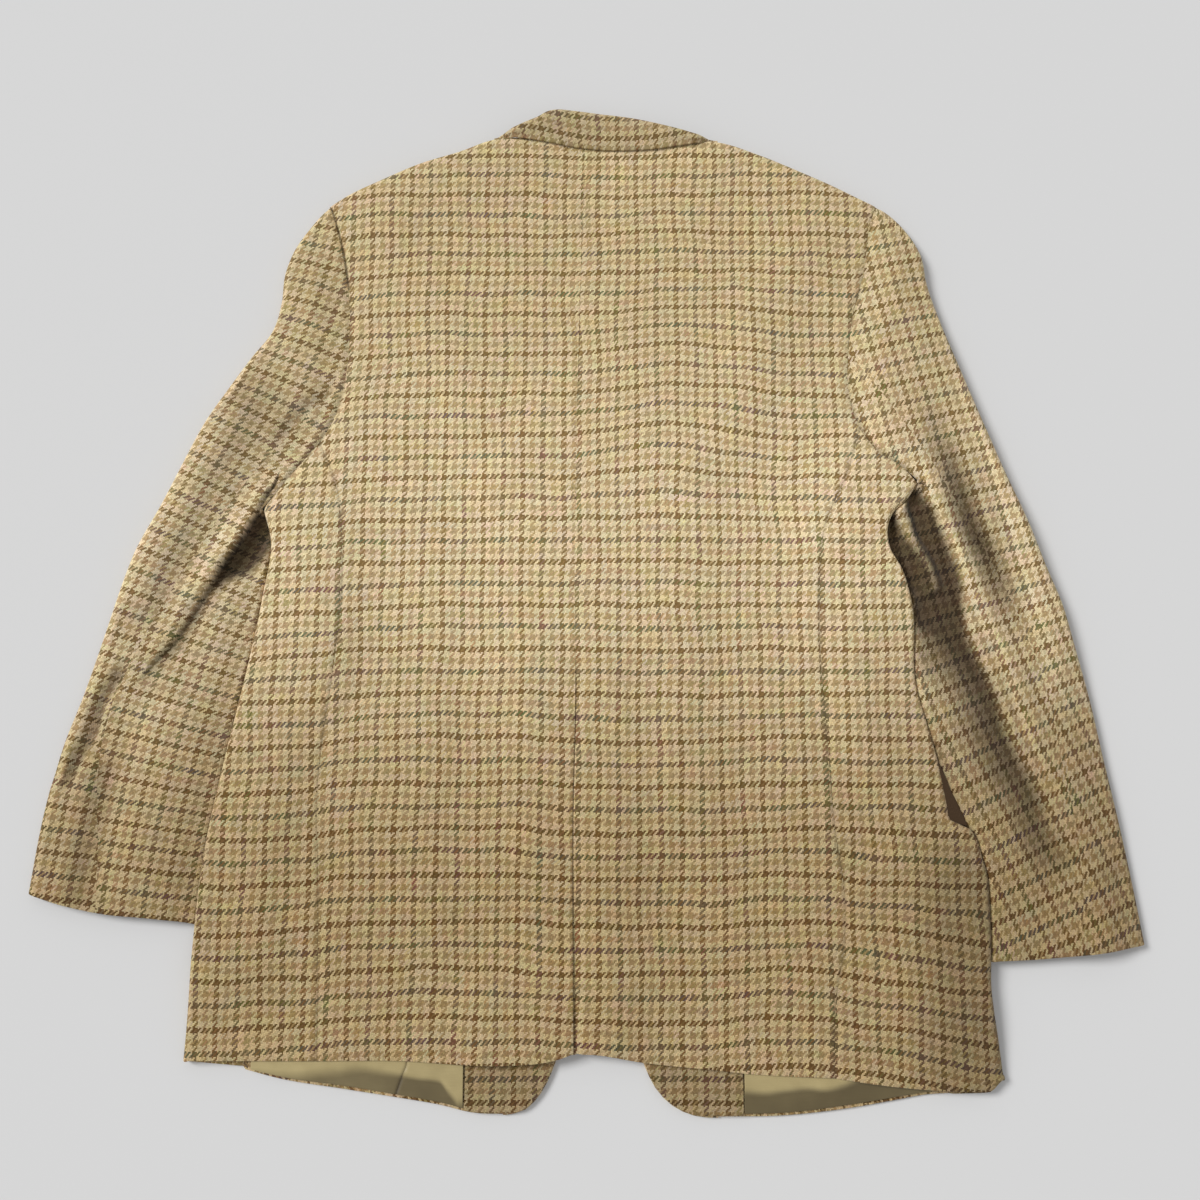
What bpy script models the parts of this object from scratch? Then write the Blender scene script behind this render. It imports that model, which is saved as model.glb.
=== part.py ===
"""Single-breasted tweed hacking jacket, buttoned and laid face down.

Frame: +Z up. The jacket lies on z = 0 with its collar towards +Y and its own left side
towards -X. Each panel is an open surface on a grid, and Solidify gives it its cloth on the
inner side. Plan measures and heights in the tables are millimetres, and MM makes them metres.
"""
import math

import bmesh
import bpy
import numpy as np

MM = 0.001

# Cloth thicknesses, with the interlining where a piece has it.
BACK_WALL = 2.6
FRONT_WALL = 3.0
SLEEVE_WALL = 2.2
COLLAR_WALL = 2.2
LAPEL_WALL = 2.2
FLAP_WALL = 2.0
FACING_WALL = 1.6
LINING_WALL = 1.0

SEAM = 0.25             # each piece stops this far short of its seam line
UNDER_SEAM = 0.5        # the same on the side that faces the floor
REST = 0.5              # room between two pieces that lie on each other
SHOULDER_ROLL = 6.0     # how far in from the shoulder line the cloth starts to turn down
SIDE_ROLL = 5.0         # the same at the side folds
SLEEVE_ROLL = (6.0, 9.0)        # the sleeve's outer fold, at the armhole and at the cuff
TUCKED = 2 * SLEEVE_WALL + 1.0  # a sleeve's thickness where it lies under the body
ROOM = 2.6              # between the backs and the fronts
PADDING = 4.0           # the shoulder pads' part of it, along the shoulder lines
VENT_LAP = 35.0         # how far the right back runs on under the left one
VENT_DROP = BACK_WALL + 0.8
BUTTON_RADIUS = 10.5
BUTTON_HEIGHT = 2.8
BUTTONS = {"button_top": 30.0, "button_middle": -75.0, "button_bottom": -180.0}
CENTRE_FRONT = 10.0
HEM_PIECE_TOP = -366.0  # how far up the facings and linings go under the back's hem

TWEED = (0.47, 0.33, 0.17)
SATIN = (0.55, 0.46, 0.24)
POCKETING = (0.10, 0.05, 0.025)
HORN = (0.07, 0.045, 0.03)


class Curve:
    """A smooth plan run through a few points, read by its share of the length."""

    def __init__(self, *points):
        p = np.array(points, float)
        step = np.linalg.norm(np.diff(p, axis=0), axis=1)
        slope = np.diff(p, axis=0) / step[:, None]
        tangent = np.vstack([slope[:1], slope, slope[-1:]])
        before = np.concatenate([step[:1], step])[:, None]
        after = np.concatenate([step, step[-1:]])[:, None]
        tangent = (tangent[:-1] * after + tangent[1:] * before) / (before + after)
        t = np.linspace(0.0, 1.0, 12, endpoint=False)[:, None]
        runs = []
        for i, reach in enumerate(step):
            runs.append(p[i] * (1 + 2 * t) * (1 - t) ** 2 + p[i + 1] * t * t * (3 - 2 * t)
                        + reach * (tangent[i] * t * (1 - t) ** 2 - tangent[i + 1] * t * t * (1 - t)))
        self.line = np.vstack(runs + [p[-1:]])
        self.runs = np.concatenate([[0.0], np.cumsum(np.linalg.norm(np.diff(self.line, axis=0), axis=1))])
        self.length = self.runs[-1]

    def at(self, share):
        """Plan points at the given shares of the length."""
        s = np.asarray(share, float) * self.length
        return np.stack([np.interp(s, self.runs, self.line[:, k]) for k in (0, 1)], axis=-1)

    def share_at(self, y):
        """The share at which the curve, which climbs, reaches the height y on the plan."""
        climb = np.maximum.accumulate(self.line[:, 1]) + np.arange(len(self.line)) * 1e-6
        return np.interp(y, climb, self.runs) / self.length


# Plan curves of each side. Shoulder and neck run from the sleeve to the centre back, armholes
# from the shoulder to the armpit, seams and folds from the hem up, sleeves down to the cuff.
PLAN = {
    "left": {
        "top": Curve((-229, 341), (-217, 349), (-183, 366), (-149, 381), (-115, 392), (-82, 404),
                     (-55, 405), (-28, 401), (-1, 399)),
        "shoulder": Curve((-229, 341), (-217, 349), (-183, 366), (-149, 381), (-115, 392), (-82, 404)),
        "armhole": Curve((-229, 341), (-221, 316), (-213, 278), (-208, 232), (-209, 192), (-213, 162),
                         (-224, 133), (-246, 101), (-275, 61)),
        "armhole_under": Curve((-229, 341), (-214, 312), (-200, 272), (-190, 225), (-188, 185),
                               (-194, 150), (-210, 118), (-236, 88), (-275, 61)),
        "seam": ((-213, -388), (-216, -259), (-220, -170), (-218, -140), (-211, -81), (-206, -17),
                 (-207, 40), (-214, 85)),
        "fold": Curve((-320, -388), (-317, -328), (-315, -282), (-313, -247), (-298, -151), (-285, -86),
                      (-273, -16), (-268, 36), (-275, 61)),
        "seam_under": ((-272, -392), (-266, -290), (-248, -150), (-230, -50), (-222, 40)),
        "hem": Curve((-213, -388), (-145, -388), (-92, -391), (-63, -391), (-20, -386), (-9, -382)),
        "front_edge": Curve((-63, -429), (-48, -426), (-36, -415), (-27, -399), (-20, -380), (-4, -320),
                            (12, -250), (24, -180), (30, -110), (30, -30), (30, 45), (5, 130),
                            (-25, 230), (-55, 325), (-82, 404)),
        "front_hem": Curve((-272, -395), (-244, -402), (-192, -410), (-152, -416), (-115, -422),
                           (-88, -428), (-63, -429)),
        "outer": Curve((-229, 341), (-245, 322), (-259, 300), (-267, 276), (-269, 248), (-275, 224),
                       (-292, 200), (-329, 141), (-364, 66), (-384, 24), (-397, -17), (-415, -81),
                       (-437, -152), (-448, -208), (-453.5, -258)),
        "inner": Curve((-277.5, 60), (-274, 48), (-271, 36), (-262, 10), (-262, -40), (-271, -86),
                       (-284, -151), (-299, -247), (-300, -286)),
        "hind": ((-230, 160), (-288, 87), (-343, 0), (-374, -59), (-389, -93), (-399, -138),
                 (-401, -183), (-397, -223)),
        "cuff": Curve((-453.5, -258), (-422, -267), (-387, -274), (-353, -277), (-315, -282),
                      (-300, -286)),
        "lining_edge": -95.0,
    },
    "right": {
        "top": Curve((259, 341), (249, 346), (219, 361), (192, 373), (158, 388), (118, 401), (100, 402),
                     (75, 400), (45, 398), (20, 398), (-1, 399)),
        "shoulder": Curve((259, 341), (249, 346), (219, 361), (192, 373), (158, 388), (118, 401)),
        "armhole": Curve((259, 341), (252, 316), (246, 276), (237, 245), (231, 209), (229, 181),
                         (232, 153), (240, 130), (254, 111), (272, 99), (285, 84)),
        "armhole_under": Curve((259, 341), (246, 312), (232, 272), (221, 228), (215, 190), (218, 156),
                               (228, 128), (250, 104), (285, 84)),
        "seam": ((199, -395), (202, -342), (210, -297), (211, -256), (205, -207), (202, -157),
                 (200, -114), (198, -81), (198, -17), (205, 49), (223, 89)),
        "fold": Curve((336, -412), (331, -375), (326, -328), (327, -310), (328, -266), (327, -241),
                      (324, -229), (317, -205.5), (301, -199.5), (292, -154), (286, -128), (277, -93),
                      (275, -14), (269, 9), (259, 29), (258, 46), (262, 57), (275, 70), (285, 84)),
        "seam_under": ((292, -416), (284, -328), (284, -266), (272, -205), (252, -154), (236, -93),
                       (232, -14), (224, 40)),
        "hem": Curve((199, -395), (125, -398), (104, -395), (46, -389), (12, -383), (-9, -382)),
        "front_edge": Curve((105, -431), (89, -430), (71, -423), (58, -411), (48, -392), (40, -370),
                            (26, -320), (10, -250), (-3, -180), (-10, -110), (-10, -30), (-10, 45),
                            (15, 130), (48, 230), (82, 325), (118, 401)),
        "front_hem": Curve((292, -416), (250, -419), (207, -425), (159, -430), (105, -431)),
        "outer": Curve((259, 341), (273, 331), (287, 315), (298, 294), (302, 268), (310, 239),
                       (333, 173), (362, 94), (377, 56), (392, 12), (403, -18), (411, -52),
                       (422, -100), (429.5, -145), (438, -194), (446, -243), (453.5, -298)),
        "inner": Curve((289.5, 84), (278.5, 68), (266, 56), (261, 44), (257, 26), (257, 0), (261, -50),
                       (263, -93), (272, -130), (283, -170), (295, -205), (307, -240), (310, -275),
                       (309, -313)),
        "hind": ((252, 172), (304, 92), (350, 5), (375, -62), (387, -110), (394, -160), (402, -210),
                 (403, -258)),
        "cuff": Curve((453.5, -298), (414, -304), (365, -309), (326, -311), (309, -313)),
        "lining_edge": 126.0,
    },
}
CENTRE_BACK = Curve((-9, -382), (-10, -183), (-8, -93), (-9, 18), (-8, 114), (-5, 251), (-1, 399))
NECK = Curve((-82, 404), (-55, 405), (-28, 401), (-1, 399), (20, 398), (45, 398), (75, 400), (100, 402),
             (118, 401))
COLLAR_FALL = Curve((-84, 403), (-73, 405.5), (-50, 401), (-28, 396.5), (-6, 394), (16, 392), (39, 392),
                    (61, 393), (76, 395), (95, 398.5), (113, 399.5), (119, 400))
COLLAR_CREST = Curve((-84, 403.5), (-73, 408), (-55, 417), (-36, 428.5), (-19, 431), (9, 428), (39, 425),
                     (63, 420), (84, 414), (102, 405), (119, 400))

# Lapels and collar leaves of the left side. The right ones are these about the neck's middle.
LAPEL = {"left": {"roll": ((30, 50), (-62, 352)), "outer": ((24, 44), (-20, 105), (-62, 175), (-100, 240),
                                                           (-126, 290))},
         "right": {"roll": ((16, 132), (92, 345)), "outer": ((40, 112), (84, 175), (124, 240),
                                                            (152, 290))}}
LEAF = {"left": ((-130, 323), (-64, 355), (-81, 400), (-119, 386)),
        "right": ((158, 323), (94, 352), (117, 398), (150, 386))}
FLAP = {"left": ((-280, -203), (-130, -172), (-134, -222), (-281, -254)),
        "right": ((278, -203), (138, -172), (142, -222), (279, -254))}

# Rows of the body, hem to armpit: share of the backs' side edge, and the side folds' y there.
BODY_ROWS = (
    # share, left fold y, right fold y
    (0.000, -388.0, -412.0),
    (0.070, -345.0, -368.0),
    (0.135, -302.0, -322.0),
    (0.190, -262.0, -275.0),
    (0.240, -224.0, -229.0),
    (0.260, -208.0, -209.0),
    (0.275, -196.0, -197.0),
    (0.325, -156.0, -155.0),
    (0.370, -118.0, -118.0),
    (0.415, -82.0, -82.0),
    (0.480, -40.0, -40.0),
    (0.550, 0.0, 4.0),
    (0.620, 33.0, 44.0),
    (0.650, 48.0, 62.0),
    (0.675, 61.0, 84.0),
)
SIDE_SHARE = 0.75       # where on the armhole the side seams arrive, from the shoulder
HIND_SHARE = 0.5        # where on the armhole the sleeve's hind seam starts
HIND_CUFF = 0.38        # where on the cuff it ends, from the outer fold
TURN = np.linspace(0.0, math.pi, 7)

# Rows of a sleeve, armhole to cuff, as shares of the lines that they cross. The first eight end
# on the armhole, whose shares differ above and underneath, and the others on the inner edge.
SLEEVE_ROWS = (
    # outer fold, hind seam, armhole above, armhole underneath, inner edge
    (0.000, 0.000, 0.5625, 0.125, 0.00),
    (0.045, 0.045, 0.6250, 0.250, 0.00),
    (0.090, 0.090, 0.6875, 0.375, 0.00),
    (0.135, 0.135, 0.7500, 0.500, 0.00),
    (0.180, 0.180, 0.8125, 0.625, 0.00),
    (0.230, 0.225, 0.8750, 0.750, 0.00),
    (0.290, 0.270, 0.9375, 0.875, 0.00),
    (0.360, 0.320, 1.0000, 1.000, 0.00),
    (0.430, 0.385, 1.0000, 1.000, 0.11),
    (0.500, 0.455, 1.0000, 1.000, 0.22),
    (0.570, 0.530, 1.0000, 1.000, 0.33),
    (0.640, 0.605, 1.0000, 1.000, 0.44),
    (0.710, 0.680, 1.0000, 1.000, 0.55),
    (0.785, 0.755, 1.0000, 1.000, 0.66),
    (0.860, 0.835, 1.0000, 1.000, 0.77),
    (0.930, 0.915, 1.0000, 1.000, 0.89),
    (1.000, 1.000, 1.0000, 1.000, 1.00),
)

# Soft folds of the backs: height, half width, and the run of the crest.
BACK_FOLDS = (
    (1.4, 34, ((-262, 82), (-205, 60), (-150, 62), (-80, 84))),
    (1.2, 30, ((-250, 20), (-215, -40), (-205, -130))),
    (1.5, 30, ((262, 60), (215, 30), (170, 26), (110, 40))),
    (1.3, 34, ((250, 10), (225, -70), (228, -150))),
    (1.0, 40, ((-170, 320), (-120, 240), (-100, 150))),
    (1.0, 40, ((200, 320), (150, 240), (130, 140))),
    (1.1, 34, ((90, -120), (110, -240), (104, -360))),
    (1.1, 34, ((-120, -110), (-130, -240), (-118, -350))),
)
# Ridges and troughs of the sleeves: height, half width, and the run of the crest or bed.
SLEEVE_FOLDS = {
    "left": (
        (3.5, 16, ((-286, 70), (-300, 42), (-318, 14), (-338, -8), (-368, -40))),
        (-6.0, 17, ((-286, 40), (-296, 18), (-310, -6), (-330, -26), (-348, -52), (-368, -74))),
        (2.5, 26, ((-300, 170), (-340, 90), (-372, 20), (-392, -40))),
        (2.0, 30, ((-345, -110), (-362, -180), (-372, -250))),
        (-2.0, 18, ((-392, -150), (-404, -210), (-412, -260))),
    ),
    "right": (
        (-4.5, 17, ((290, 164), (312, 138), (323, 99), (341, 40), (356, -3), (371, -46), (383, -80))),
        (3.5, 15, ((286, 56), (310, 23), (326, -12), (345, -64), (362, -101), (380, -150))),
        (-5.0, 15, ((282, 30), (296, -2), (306, -40), (316, -90), (328, -130), (345, -171),
                    (369, -205), (386, -229), (396, -243))),
        (3.0, 22, ((316, 190), (345, 110), (370, 30), (386, -50), (398, -110))),
        (3.2, 34, ((350, -225), (360, -262), (364, -308))),
        (3.2, 34, ((414, -272), (414, -308))),
    ),
}
# Fullness of the sleeves: share of the length from the armhole, height of the upper side.
SLEEVE_CROWN = ((0.00, 14.0), (0.15, 15.5), (0.35, 16.0), (0.60, 14.5), (0.85, 12.5), (1.00, 11.0))


def smooth(t):
    """0 below 0 and 1 above 1, with a smooth climb between them: t * t * (3 - 2 t)."""
    t = np.clip(t, 0.0, 1.0)
    return t * t * (3 - 2 * t)


def distance(x, y, run):
    """Plan distance from each point to the nearest part of a run of straight lines."""
    run = np.asarray(run, float)
    nearest = np.full(np.shape(x), 1e9)
    for a, b in zip(run, run[1:]):
        d = b - a
        t = np.clip(((x - a[0]) * d[0] + (y - a[1]) * d[1]) / (d @ d), 0.0, 1.0)
        nearest = np.minimum(nearest, np.hypot(x - a[0] - t * d[0], y - a[1] - t * d[1]))
    return nearest


def cover(x, y, ring, margin, ramp):
    """1 on the ring's area and up to margin outside it, then down to 0 over the ramp."""
    ring = np.asarray(ring, float)
    inside = np.zeros(np.shape(x), bool)
    for a, b in zip(ring, np.roll(ring, -1, axis=0)):
        if a[1] != b[1]:
            crossing = (y > min(a[1], b[1])) & (y <= max(a[1], b[1]))
            inside ^= crossing & (x < a[0] + (y - a[1]) * (b[0] - a[0]) / (b[1] - a[1]))
    outside = np.where(inside, 0.0, distance(x, y, np.vstack([ring, ring[:1]])))
    return 1.0 - smooth((outside - margin) / ramp)


def coons(side_a, side_b, end_a, end_b, across, along):
    """Plan grid [row, column] between four edges: their two blends less the corners' own."""
    u = np.asarray(across)[None, :, None]
    v = np.asarray(along)[:, None, None]
    corners = ((1 - u) * (1 - v) * side_a[0] + u * (1 - v) * side_b[0]
               + (1 - u) * v * side_a[-1] + u * v * side_b[-1])
    return ((1 - u) * side_a[:, None] + u * side_b[:, None]
            + (1 - v) * end_a[None] + v * end_b[None] - corners)


def toward(points, goals, by):
    """The points moved by a distance towards their goals."""
    d = goals - points
    return points + d / np.linalg.norm(d, axis=-1, keepdims=True) * by


def tuck_ring(side):
    """The strip at the side fold below which the sleeve lies."""
    inner = list(PLAN[side]["inner"].at(np.linspace(0.04, 1.0, 20)))
    out = -24.0 if side == "left" else 24.0
    return np.array(inner + [[p[0] + out, p[1]] for p in reversed(inner)])


def lapel_ring(side):
    """The outline of a lapel: its roll line up, then its outer edge down."""
    return np.array(LAPEL[side]["roll"] + LAPEL[side]["outer"][::-1], float)


# What lifts the fronts off the floor: the outer face's height there, and the outline below it.
LIFTS = [(TUCKED + REST, tuck_ring(side)) for side in PLAN]
LIFTS += [(LAPEL_WALL + REST + 0.2, lapel_ring(side)) for side in PLAN]
LIFTS += [(LAPEL_WALL + REST + 0.2, LEAF[side]) for side in PLAN]
LIFTS += [(FLAP_WALL + REST + 0.2, FLAP[side]) for side in PLAN]
LIFTS += [(BUTTON_HEIGHT + REST, ((-2, 40), (22, 40), (22, -190), (-2, -190)))]
OVERLAP = ((-10, 45), (3, 92), (9, 112), (16, 92), (30, 45), (30, -110), (26, -180), (15, -250),
           (6, -296), (0, -250), (-5, -180), (-10, -110))


def front_height(x, y, side, margin=28.0, ramp=30.0):
    """Height of a front's outer face, which lies downwards, over what it lies on."""
    z = np.zeros(np.shape(x))
    for height, ring in LIFTS:
        z = np.maximum(z, height * cover(x, y, ring, margin if height < 5 else margin * 0.72, ramp))
    if side == "right":
        z = z + (FRONT_WALL + REST) * cover(x, y, OVERLAP, margin, ramp)
    return z


def back_height(x, y):
    """Height of the backs' outer face: the fronts' inner face, what lies on it, room, a wall.

    The room is less over the fronts' overlap and the hem, and enough for two walls at the vent.
    """
    below = front_height(x, y, "right", margin=38.0, ramp=64.0) + FRONT_WALL
    hem = smooth((-302.0 - y) / 34.0)
    lap = cover(x, y, ((-46, -90), (-8, -90), (-8, -382), (-46, -382)), 24.0, 44.0)
    room = ROOM - 1.7 * cover(x, y, OVERLAP, 30.0, 60.0)
    for side in PLAN:
        reach = distance(x, y, PLAN[side]["shoulder"].line[::6])
        room = room + PADDING * (1.0 - smooth((reach - 12.0) / 70.0))
    for height, half, run in BACK_FOLDS:
        room = room + height * smooth(1.0 - distance(x, y, run) / half)
    room = room * (1 - hem) + 0.6 * hem
    room = room * (1 - lap) + np.maximum(room, VENT_DROP + REST + 0.2) * lap
    return below + hem * (REST + 0.2 + FACING_WALL) + room + BACK_WALL


def sleeve_height(x, y, side, share):
    """Height of a sleeve's upper face, level with the back at the armhole and low at the body."""
    plan = PLAN[side]
    share_column, crown_column = zip(*SLEEVE_CROWN)
    crown = np.interp(share, share_column, crown_column)
    crown = crown - 3.0 * (1 - smooth(distance(x, y, plan["outer"].line[::4]) / 34.0))
    for height, half, run in SLEEVE_FOLDS[side]:
        crown = crown + height * smooth(1.0 - distance(x, y, run) / half)
    start = smooth(distance(x, y, plan["armhole"].line[::4]) / 34.0)
    full = back_height(x, y) * (1 - start) + crown * start
    low = smooth((distance(x, y, plan["fold"].line[::3]) - 4.0) / 22.0)
    low = low * (1 - cover(x, y, tuck_ring(side)[:len(tuck_ring(side)) // 2], 0.0, 6.0))
    return np.maximum(TUCKED + (full - TUCKED) * low, TUCKED)


jacket = bpy.data.collections.new("tweed_hacking_jacket")


def material(name, colour, roughness):
    """A plain Principled material."""
    made = bpy.data.materials.new(name)
    made.use_nodes = True
    shader = made.node_tree.nodes["Principled BSDF"]
    shader.inputs["Base Color"].default_value = (*colour, 1.0)
    shader.inputs["Roughness"].default_value = roughness
    shader.inputs["Metallic"].default_value = 0.0
    return made


def panel(name, grid, wall, colour=TWEED, roughness=0.9, up=True):
    """A cloth piece: a grid whose corners are set, with Solidify on its inner side.

    The first column's faces look up, or down where up is false, and so name the outer side.
    """
    rows, columns = grid.shape[:2]
    bm = bmesh.new()
    bmesh.ops.create_grid(bm, x_segments=columns - 1, y_segments=rows - 1, size=1.0)
    first = []
    for vert in bm.verts:
        column = round((vert.co.x + 1.0) / 2.0 * (columns - 1))
        row = round((vert.co.y + 1.0) / 2.0 * (rows - 1))
        if column < 2:
            first.extend(f for f in vert.link_faces)
        vert.co = grid[row, column] * MM
    bm.normal_update()
    edge_faces = {f for f in first if sum(1 for v in f.verts if v.is_boundary) >= 2}
    if (sum(f.normal.z for f in edge_faces) > 0) != up:
        bmesh.ops.reverse_faces(bm, faces=bm.faces[:])
    mesh = bpy.data.meshes.new(name)
    bm.to_mesh(mesh)
    bm.free()
    piece = bpy.data.objects.new(name, mesh)
    jacket.objects.link(piece)
    mesh.materials.append(material(name + "_cloth", colour, roughness))
    mesh.shade_smooth()
    mesh.set_sharp_from_angle(angle=math.radians(50))
    solid = piece.modifiers.new("cloth", "SOLIDIFY")
    solid.thickness = wall * MM
    solid.offset = -1.0
    solid.use_rim = True
    return piece


def raised(plan, z):
    """Plan points with their heights as a third column."""
    return np.concatenate([plan, np.asarray(z)[..., None]], axis=-1)


def joined_share(side, under):
    """Side seam as a curve up to the armhole, at the upper or the under side."""
    plan = PLAN[side]
    hole = plan["armhole_under" if under else "armhole"]
    return Curve(*plan["seam_under" if under else "seam"], hole.at(SIDE_SHARE))


def armhole_shares(side):
    """Shares of the armhole from its side seam up to where the shoulder starts to turn."""
    roll = SHOULDER_ROLL / PLAN[side]["armhole"].length
    low = np.linspace(SIDE_SHARE, HIND_SHARE, 5)
    high = roll + (HIND_SHARE - roll) * np.array([0.8, 0.6, 0.4, 0.2, 0.0])
    return np.concatenate([low, high])


def shoulder_rows(outline, inward, heights, middle, shares):
    """The rows that turn from a panel's face to the shoulder line, as a quarter of an ellipse."""
    rows = []
    upright = np.sign(heights - middle) * 0.9
    for angle, rest in ((45.0, 0.0), (90.0, 0.0), (90.0, 1.0)):
        a = math.radians(angle)
        held = 0.25 * (1 - shares[:, None]) if angle == 90.0 and rest == 0.0 else 0.0
        plan = outline + inward * SHOULDER_ROLL * (1 - math.sin(a) + held)
        turned = heights + (middle + upright * (1 - rest) - heights) * (1 - math.cos(a)) * shares
        rows.append(raised(plan, turned)[None])
    return np.concatenate(rows)


def body_rows(side):
    """Shares of the body's rows along the seams, and the side folds' points there."""
    share = np.array([row[0] for row in BODY_ROWS]) / BODY_ROWS[-1][0]
    fold = PLAN[side]["fold"]
    y = np.array([row[1 if side == "left" else 2] for row in BODY_ROWS])
    return share, fold.at(fold.share_at(y))


def shoulder_middle(side):
    """The shoulder line's stations, and the height at which back and front meet there."""
    line = PLAN[side]["shoulder"].at(np.linspace(0.0, 1.0, 6))
    inside = line + np.array([0.0, -SHOULDER_ROLL])
    low = front_height(inside[:, 0], inside[:, 1], side)
    return line, (back_height(inside[:, 0], inside[:, 1]) + low) / 2


def make_back(side):
    """A back panel: side seam and armhole on one edge, centre back on the other."""
    plan = PLAN[side]
    share, _ = body_rows(side)
    arm = armhole_shares(side)
    edge = np.vstack([joined_share(side, False).at(share), plan["armhole"].at(arm[1:])])
    along = np.array([row[0] for row in BODY_ROWS])
    steps = np.linalg.norm(np.diff(edge[len(along) - 1:], axis=0), axis=1)
    climb = along[-1] + (1 - along[-1]) * np.cumsum(steps) / steps.sum()
    along = np.concatenate([along, climb])
    corner = plan["shoulder"].length / plan["top"].length
    across = np.concatenate([np.linspace(0.0, corner, 6), np.linspace(corner, 1.0, 6)[1:]])
    line, middle = shoulder_middle(side)
    outline = plan["top"].at(across)
    outline[:6] = line
    if side == "right":
        across = np.concatenate([across[:-1], [0.975, 0.994, 1.0]])
        outline = np.concatenate([outline[:-1], plan["top"].at(across[-3:])])
    centre = CENTRE_BACK.at(along * (1 - SHOULDER_ROLL / CENTRE_BACK.length))
    start = plan["armhole"].at(0.05) - plan["armhole"].at(0.0)
    inward = (1 - across[:, None]) * start / np.linalg.norm(start) + across[:, None] * np.array([0.0, -1.0])
    inward = inward / np.linalg.norm(inward, axis=1, keepdims=True)
    top = outline + inward * SHOULDER_ROLL
    top[0] = edge[-1]
    centre[-1] = top[-1]
    vent = smooth((-98.0 - centre[:, 1]) / 28.0)
    drop = VENT_DROP * smooth((-56.0 - centre[:, 1]) / 36.0)
    columns = {-1: centre[:, 0] - SEAM + 1.25 * vent}
    if side == "right":
        columns = {-1: centre[:, 0] + SEAM + 0.1 - VENT_LAP * vent, -2: centre[:, 0] + 1.6,
                   -3: centre[:, 0] + 6.0}
    edge = toward(edge, centre, SEAM)
    hem = plan["hem"].at(across)
    hem[0] = edge[0]
    hem[-1] = centre[0]
    top[0] = edge[-1]
    grid = coons(edge, centre, hem, top, across, along)
    for column, x in columns.items():
        grid[:, column, 0] = x
        outline[column, 0] = x[-1]
    z = back_height(grid[..., 0], grid[..., 1])
    if side == "right":
        z[:, -1] -= drop
        z[:, -2] -= drop
    turning = np.zeros(len(across))
    turning[:6] = (1.0, 1.0, 1.0, 1.0, 0.9, 0.5)
    goal = np.concatenate([middle, np.repeat(middle[-1], len(across) - 6)]) + 0.4
    outline[0] = outline[0] + edge[-1] - plan["armhole"].at(arm[-1])
    rolled = shoulder_rows(outline, inward, z[-1], goal, turning)
    return panel("back_" + side, np.concatenate([raised(grid, z), rolled]), BACK_WALL)


def make_side(side):
    """A side body: from the back's seam over the side fold to the front's seam underneath."""
    plan = PLAN[side]
    share, fold = body_rows(side)
    hole = plan["armhole"]
    under_hole = plan["armhole_under"]
    stop = 1 - SIDE_ROLL / hole.length
    upper_seam = joined_share(side, False).at(share)
    under_seam = joined_share(side, True).at(share)
    columns = np.linspace(0.0, 1.0, 5)
    top = hole.at(SIDE_SHARE + (stop - SIDE_SHARE) * columns)
    inset = toward(fold, upper_seam, SIDE_ROLL)
    inset[-1] = top[-1]
    edge = toward(upper_seam, fold, SEAM)
    top[0] = edge[-1]
    hem = edge[0] + (inset[0] - edge[0]) * columns[:, None]
    upper = coons(edge, inset, hem, top, columns, share)
    columns = np.linspace(0.0, 1.0, 3)
    top = under_hole.at((1 - SIDE_ROLL / under_hole.length, 0.875, SIDE_SHARE))
    inset_under = toward(fold, under_seam, SIDE_ROLL)
    inset_under[-1] = top[0]
    edge = toward(under_seam, fold, UNDER_SEAM)
    top[-1] = edge[-1]
    hem = inset_under[0] + (edge[0] - inset_under[0]) * columns[:, None]
    under = coons(inset_under, edge, hem, top, columns, share)
    upper[-1] = toward(upper[-1], upper[-2], SEAM + 0.25)
    under[-1] = toward(under[-1], under[-2], SEAM + 0.1)
    fold = fold.copy()
    fold[-1] = toward(fold[-1:], fold[-2:-1], SEAM)[0]
    high = back_height(upper[..., 0], upper[..., 1])
    low = front_height(under[..., 0], under[..., 1], side)
    turned = []
    for angle in TURN[1:-1]:
        start = upper[:, -1] if angle <= math.pi / 2 else under[:, 0]
        plan_point = fold + (start - fold) * (1 - math.sin(angle))
        z = (high[:, -1] + low[:, 0]) / 2 + (high[:, -1] - low[:, 0]) / 2 * math.cos(angle)
        turned.append(raised(plan_point, z)[:, None])
    grid = np.concatenate([raised(upper, high)] + turned + [raised(under, low)], axis=1)
    return panel("side_" + side, grid, BACK_WALL)


def under_armhole_shares(side):
    """Shares of the armhole underneath, from its side seam up to the shoulder's turn."""
    roll = SHOULDER_ROLL / PLAN[side]["armhole_under"].length
    return np.array([0.75, 0.625, 0.5, 0.375, 0.25, 0.125, roll])


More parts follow.
